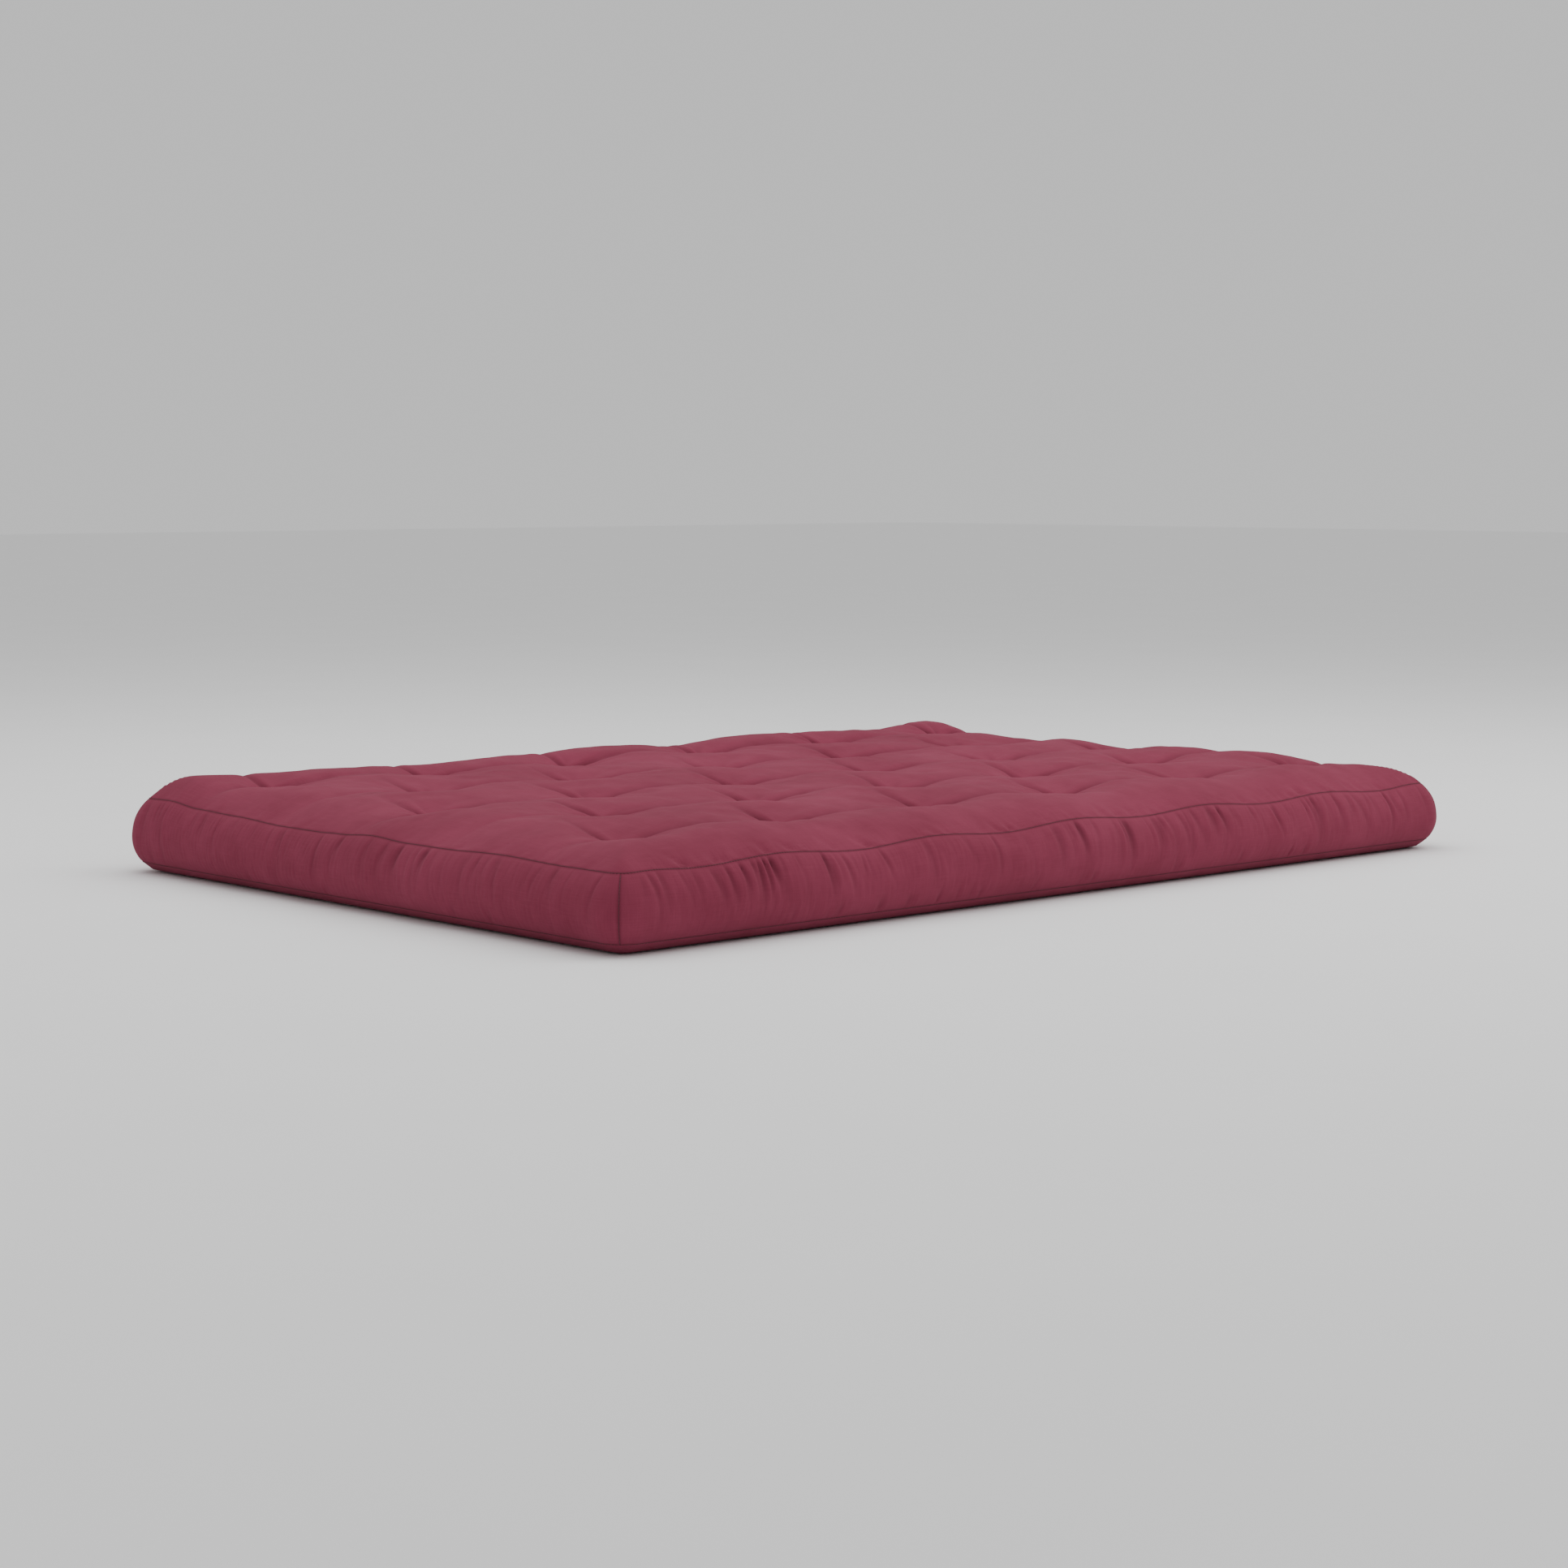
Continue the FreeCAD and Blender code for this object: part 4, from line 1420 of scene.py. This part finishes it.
    def gathered(self, gathers: Gathers, along: Array, t: Array) -> Array:
        """How deep a border's wrinkles and folds are.

        A wrinkle starts at a seam and runs away from it, leaning a little. Across it the depth
        is exp(-u^1.3) with a ridge at u = 2, where u is the distance in widths. Down it the
        depth grows over the first tenth and fades by its reach.

        Args:
            gathers: The side's wrinkles.
            along: The grid lines along the side.
            t: The grid lines up it.

        Returns:
            Depths, rows by columns.
        """
        s = self.shape.sizes
        height = s.top_seam - s.bottom_seam
        half = self.shape.half_of(gathers.side)
        rng = np.random.default_rng(gathers.seed)
        drop = np.zeros((len(t), len(along)))
        count = gathers.count
        clump = rng.uniform(-half, half, count // 7)
        loose = rng.uniform(-half, half, count)
        close = clump[rng.integers(0, len(clump), count)] + rng.normal(0, 0.035, count)
        place = np.where(rng.random(count) < 0.55, close, loose)
        rows = [
            (c, rng.normal(gathers.lean, 0.12), rng.uniform(0.0025, 0.0082),
             0.0007 + 0.0030 * rng.random() ** 2, rng.uniform(0.35, 1.25), rng.random() < 0.84)
            for c in place
        ]
        rows += [
            (fold.place, fold.lean / height, fold.width, fold.depth / gathers.strength, fold.reach, True)
            for fold in self.FOLDS
            if fold.side is gathers.side
        ]
        for c, lean, width, depth, reach, from_top in rows:
            down = (1 - t if from_top else t)[:, None]
            window = slice(*np.searchsorted(along, (c - 0.07, c + 0.07)))
            if not from_top:
                reach = min(reach, 0.45) * 0.8
            spread = 0.75 + 0.9 * down / reach
            u = np.abs(along[window][None] - c - lean * down * height) / (width * spread)
            envelope = (0.20 + 0.80 * smooth_step(down / 0.12)) * (1 - smooth_step(down / reach))
            profile = np.exp(-(u**1.3)) - 0.32 * np.exp(-((u - 2.0) ** 2))
            drop[:, window] += depth * envelope * profile * gathers.strength
        stripe = np.zeros_like(drop)
        for _ in range(22):
            wave, phase, tilt, where, span = rng.uniform(
                (0.006, 0, -0.25, -half, 0.08), (0.017, 6.28, 0.25, half, 0.5)
            )
            place_on = along[None] + tilt * (1 - t)[:, None] * height
            near = np.exp(-(((along[None] - where) / span) ** 2))
            stripe += near * np.sin(place_on * (2 * math.pi / wave) + phase)
        drop += gathers.striping * stripe * smooth_step((1 - t)[:, None] / 0.1)
        ends = smooth_step((half - np.abs(along)) / 0.035)[None]
        seams = smooth_step(np.minimum(t, 1 - t) / 0.03)[:, None] * 0.9 + 0.1
        seams[[0, -1]] = 0
        return drop * ends * seams

    def make_border(self, gathers: Gathers) -> bpy.types.Object:
        """Makes one border, from the middle of one corner to the middle of the next.

        Args:
            gathers: The side and its wrinkles.

        Returns:
            The piece.
        """
        s = self.shape.sizes
        side = gathers.side
        half = self.shape.half_of(side)
        along = graded_lines(half, self.border_step, np.array([]), self.edge)
        ends = np.array(self.border_edge)
        middle = np.linspace(ends[-1], 1 - ends[-1], 18)[1:-1]
        t = np.concatenate([ends, middle, (1 - ends)[::-1]])
        base = self.shape.base_border(side, along, t)
        base = base + self.shape.swelling(side.value, t, (along + half) / (2 * half))
        height = s.top_seam - s.bottom_seam
        seam = height * np.minimum(t, 1 - t)[:, None] + 0 * along[None]
        corner = 0 * t[:, None] + (half - np.abs(along))[None]
        drop = self.gathered(gathers, along, t)
        wander = ripples(np.stack(np.meshgrid(along, t * height), -1), 0.08, 0.3, 20, gathers.seed)
        slow = 0.0020 * wander * smooth_step(np.minimum(seam / 0.03, corner / 0.05))
        out = self.shape.outward(side, along)[None]
        pull = self.shape.PULL * np.exp(-((np.minimum(seam, corner) / self.shape.PULL_REACH) ** 2))
        outer = base + out * (slow - drop - pull)[..., None]
        inner = outer - normals_of(outer) * s.cloth
        flat = np.stack(np.meshgrid(along, t * height), -1)
        # Painted shade in the wrinkles and folds and beside the seams.
        shade = np.clip(drop / 0.006, 0, 1) + self.seam_shade(np.minimum(seam, corner))
        shell = Shell.between(outer, inner, flat, np.clip(shade, 0, 1))
        return shell.piece(f"border_{side.value}")

    def make(self) -> None:
        """Makes the whole cover and dresses it."""
        panels = [self.make_top(), self.make_bottom()]
        for gathers in self.GATHERS:
            border = self.make_border(gathers)
            if gathers.side is Side.FRONT:
                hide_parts("front_border")
                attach(border, SEAT)
            elif gathers.side is Side.REAR:
                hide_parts("rear_border")
                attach(border, BACK)
            else:
                side = gathers.side.value
                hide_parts(f"seat_{side}_border", f"back_{side}_border")
                bend_at_fold(border)
            dress(border, self.cloth)
        for panel in panels:
            bend_at_fold(panel)
            dress(panel, self.cloth)


@dataclass
class SeamThreads:
    """The lock stitches: one round each seam line, and one up each corner."""

    shape: MattressShape
    thread: bpy.types.Material
    radius: float = 0.00050
    stitch: float = 0.0052
    sides: int = 5
    dip: float = 0.0005
    stand: float = 0.0001

    def stitched(self, line: Array, out: Array, closed: bool) -> tuple[Array, Array, Array]:
        """A thread that dives in and out of the cloth along a line.

        The path is the line plus out times (stand + dip cos(2 pi s / stitch)).

        Args:
            line: Closely spaced points along the seam.
            out: The way out of the cloth at each point.
            closed: Whether the line is a ring.

        Returns:
            Points, faces, and each point's turn and distance along the thread.
        """
        ring = np.concatenate([line, line[:1]]) if closed else line
        outs = np.concatenate([out, out[:1]]) if closed else out
        length = np.concatenate([[0], np.cumsum(np.linalg.norm(np.diff(ring, axis=0), axis=1))])
        stitches = max(2, round(length[-1] / self.stitch))
        s = np.linspace(0, length[-1], 4 * stitches + 1)
        if closed:
            s = s[:-1]
        at = np.stack([np.interp(s, length, ring[:, k]) for k in range(3)], -1)
        way = np.stack([np.interp(s, length, outs[:, k]) for k in range(3)], -1)
        lift = self.stand + self.dip * np.cos(2 * math.pi * s * stitches / length[-1])
        points, faces = tube(at + way * lift[:, None], self.radius, self.sides, closed)
        turn = np.tile(np.arange(self.sides) / self.sides, len(s))
        return points, faces, np.stack([turn, np.repeat(s, self.sides)], -1)

    def rim_line(self, face: Face) -> tuple[Array, Array]:
        """The seam line right round a panel, in its groove, and the way out of it."""
        shape = self.shape
        places, outs = [], []
        for side in Side:
            half = shape.half_of(side)
            along = np.linspace(-half, half, round(2 * half / 0.004) + 1)[:-1]
            t = np.array([1.0 if face is Face.TOP else 0.0])
            out = shape.outward(side, along)
            places.append(shape.base_border(side, along, t)[0] - out * shape.PULL)
            tilt = 0.8 if face is Face.TOP else -0.5
            outs.append(out + np.array([0, 0, tilt]))
        out = np.concatenate(outs)
        return np.concatenate(places), out / np.linalg.norm(out, axis=1, keepdims=True)

    def make_ring(self, face: Face) -> bpy.types.Object:
        """Makes the thread of one panel's seam."""
        points, faces, along = self.stitched(*self.rim_line(face), closed=True)
        piece = piece_from(f"seam_thread_{face.value}", points, faces.tolist(), along)
        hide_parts(f"seat_{face.value}_seam_thread", f"back_{face.value}_seam_thread")
        bend_at_fold(piece)
        dress(piece, self.thread)
        return piece

    def make_corners(self, body: str, sides: tuple[Side, ...]) -> bpy.types.Object:
        """Makes the threads up the two corners of one half of the mattress.

        Args:
            body: The half's body.
            sides: The sides that start at those corners.

        Returns:
            The piece.
        """
        shape = self.shape
        t = np.linspace(0.02, 0.98, 60)
        points, faces, along = [], [], []
        for side in sides:
            start = np.array([-shape.half_of(side)])
            line = shape.base_border(side, start, t)[:, 0]
            line = line + shape.swelling(side.value, t, np.array([0.0]))[:, 0]
            out = np.repeat(shape.outward(side, start), len(t), 0)
            more, quads, places = self.stitched(line - out * shape.PULL, out, closed=False)
            base = sum(len(p) for p in points)
            faces += (quads + base).tolist()
            faces += fill_caps(len(more) // self.sides, self.sides, base)
            points.append(more)
            along.append(places)
        half = body.split("_")[0]
        piece = piece_from(f"corner_threads_{half}", np.concatenate(points), faces, np.concatenate(along))
        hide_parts(f"{half}_corner_seam_threads")
        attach(piece, body)
        dress(piece, self.thread)
        return piece

    def make(self) -> None:
        """Makes all the seam threads."""
        for face in Face:
            self.make_ring(face)
        self.make_corners(SEAT, (Side.FRONT, Side.RIGHT))
        self.make_corners(BACK, (Side.REAR, Side.LEFT))


@dataclass
class TuftingTies:
    """The twine ties: at each tuft a loop through the whole mattress, knotted underneath."""

    shape: MattressShape
    cover: Cover
    twine: bpy.types.Material
    radius: float = 0.0011
    half_stitch: float = 0.005
    sides: int = 7
    knot: float = 0.0010
    tail: float = 0.014
    tail_rest: float = 0.0016
    knot_drop: float = 0.0030
    knot_twine: float = 0.75

    def loop(self, x: float, y: float, low: float, high: float) -> Array:
        """One tie's loop: sign(cos) |cos|^0.22 across and sign(sin) |sin|^0.22 up."""
        t = np.linspace(0, 2 * math.pi, 56, endpoint=False) + 0.05
        across = np.sign(np.cos(t)) * np.abs(np.cos(t)) ** 0.22
        up = np.sign(np.sin(t)) * np.abs(np.sin(t)) ** 0.22
        height = (low + high) / 2 + (high - low) / 2 * up
        return np.stack([x + self.half_stitch * across, np.full_like(t, y), height], -1)

    def trefoil(self, x: float, y: float, z: float) -> Array:
        """One tie's knot: (sin t + 2 sin 2t, cos t - 2 cos 2t, -sin 3t), scaled."""
        t = np.linspace(0, 2 * math.pi, 48, endpoint=False)
        across = np.sin(t) + 2 * np.sin(2 * t)
        along = np.cos(t) - 2 * np.cos(2 * t)
        knot = np.stack([across, along, -np.sin(3 * t)], -1)
        return knot * self.knot + np.array([x, y, z])

    def cut_end(self, x: float, y: float, z: float, turn: float) -> Array:
        """One cut end of the twine, curving away from the knot and down: a quarter of a sine."""
        t = np.linspace(0, 1, 9)
        reach = self.tail * t
        heading = turn + 0.9 * t
        height = z - (z - self.tail_rest) * np.sin(t * math.pi / 2)
        return np.stack([x + reach * np.cos(heading), y + reach * np.sin(heading), height], -1)

    def make_row(self, row: int, rng: np.random.Generator) -> bpy.types.Object:
        """Makes one row of ties.

        Args:
            row: The row, 0 at the front.
            rng: The draw of the cut ends' directions.

        Returns:
            The piece.
        """
        s = self.shape.sizes
        places = s.row_of_tufts(row)
        high = self.cover.height_at(places)
        low = self.shape.bottom_height(places[:, 0], places[:, 1])
        points, faces, along = [], [], []

        def add(path: Array, radius: Array | float, closed: bool) -> None:
            """Adds one length of twine to the row."""
            more, quads = tube(path, radius, self.sides, closed)
            base = sum(len(p) for p in points)
            faces.extend((quads + base).tolist())
            if not closed:
                faces.extend(fill_caps(len(path), self.sides, base))
            gone = np.concatenate([[0], np.cumsum(np.linalg.norm(np.diff(path, axis=0), axis=1))])
            turn = np.tile(np.arange(self.sides) / self.sides, len(path))
            along.append(np.stack([turn, np.repeat(gone, self.sides)], -1))
            points.append(more)

        for (x, y), top, under in zip(places, high, low):
            add(self.loop(x, y, under - 0.0004, top + 0.0006), self.radius, True)
            add(self.trefoil(x, y, under - self.knot_drop), self.radius * self.knot_twine, True)
            turn = rng.uniform(0, 2 * math.pi)
            for way in (turn, turn + 2.6):
                end = self.cut_end(x, y, under - self.knot_drop, way)
                add(end, self.radius * self.knot_twine * np.linspace(1, 0.7, len(end)), False)
        piece = piece_from(f"ties_row_{row + 1}", np.concatenate(points), faces, np.concatenate(along))
        bend_at_fold(piece)
        dress(piece, self.twine)
        return piece

    def make(self) -> None:
        """Makes all the rows of ties, and lets them stand for the CAD ones."""
        rng = np.random.default_rng(21)
        for row in range(self.shape.sizes.rows):
            piece = self.make_row(row, rng)
            y = self.shape.sizes.row_of_tufts(row)[0, 1]
            half = "seat" if y < FOLD_AT[1] else "back"
            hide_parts(f"{half}_tufting_twine")


@dataclass(frozen=True)
class Layer:
    """One layer of the filling: where it starts and ends, as shares of the whole filling."""

    name: str
    low: float
    high: float
    slot: str
    nodes: tuple[str, str]


@dataclass
class Filling:
    """The layers inside the cover, from the lowest felt to the highest."""

    shape: MattressShape
    felt: bpy.types.Material
    foam: bpy.types.Material
    clearance: float = 0.009
    room_above: float = 0.004
    room_below: float = 0.0016
    step: float = 0.020
    gap: float = 0.0003

    def layers(self) -> list[Layer]:
        """Reads the layers' heights off the CAD nodes and makes shares of them."""
        found = []
        for kind in ("lower_felt_1", "lower_felt_2", "lower_felt_3", "foam_core",
                     "upper_felt_1", "upper_felt_2", "upper_felt_3"):
            low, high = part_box(f"seat_{kind}")
            slot = "core_foam" if kind == "foam_core" else "cotton_felt"
            found.append((kind, low.z, high.z, slot))
        bottom = found[0][1]
        whole = found[-1][2] - bottom
        layers = []
        for kind, low, high, slot in found:
            nodes = (f"seat_{kind}", f"back_{kind}")
            layers.append(Layer(kind, (low - bottom) / whole, (high - bottom) / whole, slot, nodes))
        return layers

    def surface(self, share: float, x: Array, y: Array) -> Array:
        """The surface at a share of the filling's height, between the two panels' insides.

        Its outline stands out as the border does at the same share, less a clearance.

        Args:
            share: 0 at the lower panel and 1 at the upper one.
            x: The flat grid lines along the mattress.
            y: The flat grid lines across it.

        Returns:
            Points, rows by columns by three.
        """
        s = self.shape.sizes
        flat_x, flat_y = np.meshgrid(x, y)
        plan_x, plan_y = self.shape.plan(flat_x, flat_y)
        swell = self.shape.swelling("top", *self.shape.shares(x, y))[..., 2]
        top = self.shape.top_height(plan_x, plan_y, flat_x, flat_y) + np.minimum(swell, 0)
        top = top - s.cloth - s.batting - self.room_above
        bottom = self.shape.bottom_height(plan_x, plan_y) + s.cloth + self.room_below
        grow = float(self.shape.stand(np.array(share))) - self.clearance
        wide_x, wide_y = self.shape.plan(flat_x, flat_y, grow)
        return np.stack([wide_x, wide_y, bottom + (top - bottom) * share], -1)

    def make_layer(self, layer: Layer, index: int) -> bpy.types.Object:
        """Makes one layer, its faces a little uneven as felt and cut foam are.

        Args:
            layer: The layer.
            index: Its place, for the draw.

        Returns:
            The piece.
        """
        s = self.shape.sizes
        x = graded_lines(s.half_length, self.step, np.array([]), (0.0, 0.006))
        y = graded_lines(s.half_depth, self.step, np.array([]), (0.0, 0.006))
        low = self.surface(layer.low + self.gap, x, y)
        high = self.surface(layer.high - self.gap, x, y)
        thickness = high[..., 2] - low[..., 2]
        high[..., 2] -= 0.05 * thickness * (1 + ripples(high, 0.05, 0.2, 24, 60 + index)) / 2
        shell = Shell.between(high, low, np.stack(np.meshgrid(x, y), -1))
        piece = piece_from(f"filling_{layer.name}", shell.points, shell.faces, shell.flat)
        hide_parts(*layer.nodes)
        bend_at_fold(piece)
        dress(piece, self.foam if layer.slot == "core_foam" else self.felt)
        return piece

    def make(self) -> None:
        """Makes every layer."""
        for index, layer in enumerate(self.layers()):
            self.make_layer(layer, index)


# --------------------------------------------------------------------------------------------
# The studio
# --------------------------------------------------------------------------------------------


@dataclass(frozen=True)
class Lamp:
    """A large soft lamp: where it hangs, where it points, its size and its power."""

    name: str
    place: tuple[float, float, float]
    aim: tuple[float, float, float]
    size: float
    power: float


@dataclass(frozen=True)
class Studio:
    """The pale floor, the even light and the camera."""

    camera_place: tuple[float, float, float] = (-3.710, -4.000, 0.678)
    camera_turn: float = 42.459
    lens: float = 70.16
    sensor: float = 36.0
    shift: float = -0.1944
    floor_reach: float = 30.0
    sky: float = 0.70
    lamps: tuple[Lamp, ...] = (
        Lamp("key", (2.6, -2.2, 3.4), (0.0, 0.0, 0.1), 3.2, 88.0),
        Lamp("overhead", (-0.4, 0.8, 4.2), (0.0, 0.0, 0.1), 4.5, 104.0),
    )

    def make_camera(self) -> None:
        """Sets up the camera, level and looking along its turn from the Y axis."""
        data = bpy.data.cameras.new("camera")
        data.lens = self.lens
        data.sensor_width = self.sensor
        data.shift_y = self.shift
        camera = linked("camera", data)
        camera.location = self.camera_place
        camera.rotation_euler = (math.pi / 2, 0.0, -math.radians(self.camera_turn))
        bpy.context.scene.camera = camera

    def make_floor(self) -> None:
        """Lays the floor, a pale sheet with a faint grain."""
        reach = self.floor_reach
        line = np.linspace(-reach, reach, 9)
        x, y = np.meshgrid(line, line)
        points = np.stack([x, y, np.zeros_like(x)], -1).reshape(-1, 3)
        mesh = bpy.data.meshes.new("floor")
        mesh.from_pydata(points.tolist(), [], grid_faces(9, 9).tolist())
        floor = linked("floor", mesh)
        finish = Finish("floor_paper", (0.90, 0.90, 0.90), (0.93, 0.93, 0.93), 0.9)
        material, board, shader, bump = finish.start()
        grain = board.noise(board.node("ShaderNodeTexCoord").outputs["Object"], 3.0, 2.0)
        deep, pale = finish.shades()
        board.feed(shader.inputs["Base Color"], board.mix(grain, deep, pale))
        board.feed(bump.inputs["Height"], grain)
        bump.inputs["Strength"].default_value = 0.02
        shader.inputs["Specular IOR Level"].default_value = 0.1
        mesh.materials.append(material)

    def make_lamps(self) -> None:
        """Hangs the lamps."""
        for lamp in self.lamps:
            data = bpy.data.lights.new(lamp.name, "AREA")
            data.size = lamp.size
            data.energy = lamp.power
            light = linked(lamp.name, data)
            light.location = lamp.place
            way = np.array(lamp.aim) - np.array(lamp.place)
            level = math.hypot(way[0], way[1])
            light.rotation_euler = (
                math.pi / 2 - math.atan2(-way[2], level), 0.0, math.atan2(way[1], way[0]) - math.pi / 2
            )

    def make_sky(self) -> None:
        """Lights the scene evenly from all round with white."""
        world = bpy.data.worlds.new("studio")
        world.use_nodes = True
        background = world.node_tree.nodes["Background"]
        background.inputs["Color"].default_value = (1.0, 1.0, 1.0, 1.0)
        background.inputs["Strength"].default_value = self.sky
        bpy.context.scene.world = world

    def make(self) -> None:
        """Sets up everything round the mattress."""
        self.make_camera()
        self.make_floor()
        self.make_lamps()
        self.make_sky()


# --------------------------------------------------------------------------------------------


def main() -> None:
    """Builds the studio and every piece, in order."""
    logging.basicConfig(level=logging.INFO, format="%(name)s: %(message)s")
    Studio().make()
    effects = Effects()
    cotton = CottonCloth("cotton_cloth", (0.185, 0.029, 0.054), (0.238, 0.041, 0.075), 0.88).make(effects)
    felt = FibreFelt("fibre_felt", (0.46, 0.42, 0.36), (0.72, 0.68, 0.60), 0.95).make(effects)
    foam = OpenCellFoam("open_cell_foam", (0.62, 0.54, 0.33), (0.82, 0.76, 0.56), 0.9).make(effects)
    thread = PliedThread("sewing_thread", (0.060, 0.010, 0.018), (0.13, 0.026, 0.040), 0.7, 0.0012)
    twine = PliedThread("tufting_twine", (0.10, 0.018, 0.030), (0.22, 0.050, 0.072), 0.8, 0.0030)
    shape = MattressShape(MattressSizes.from_frame())
    shape.inflate()
    cover = Cover(shape, cotton)
    cover.make()
    SeamThreads(shape, thread.make(effects)).make()
    TuftingTies(shape, cover, twine.make(effects)).make()
    Filling(shape, felt, foam).make()


if __name__ == "__main__":
    main()
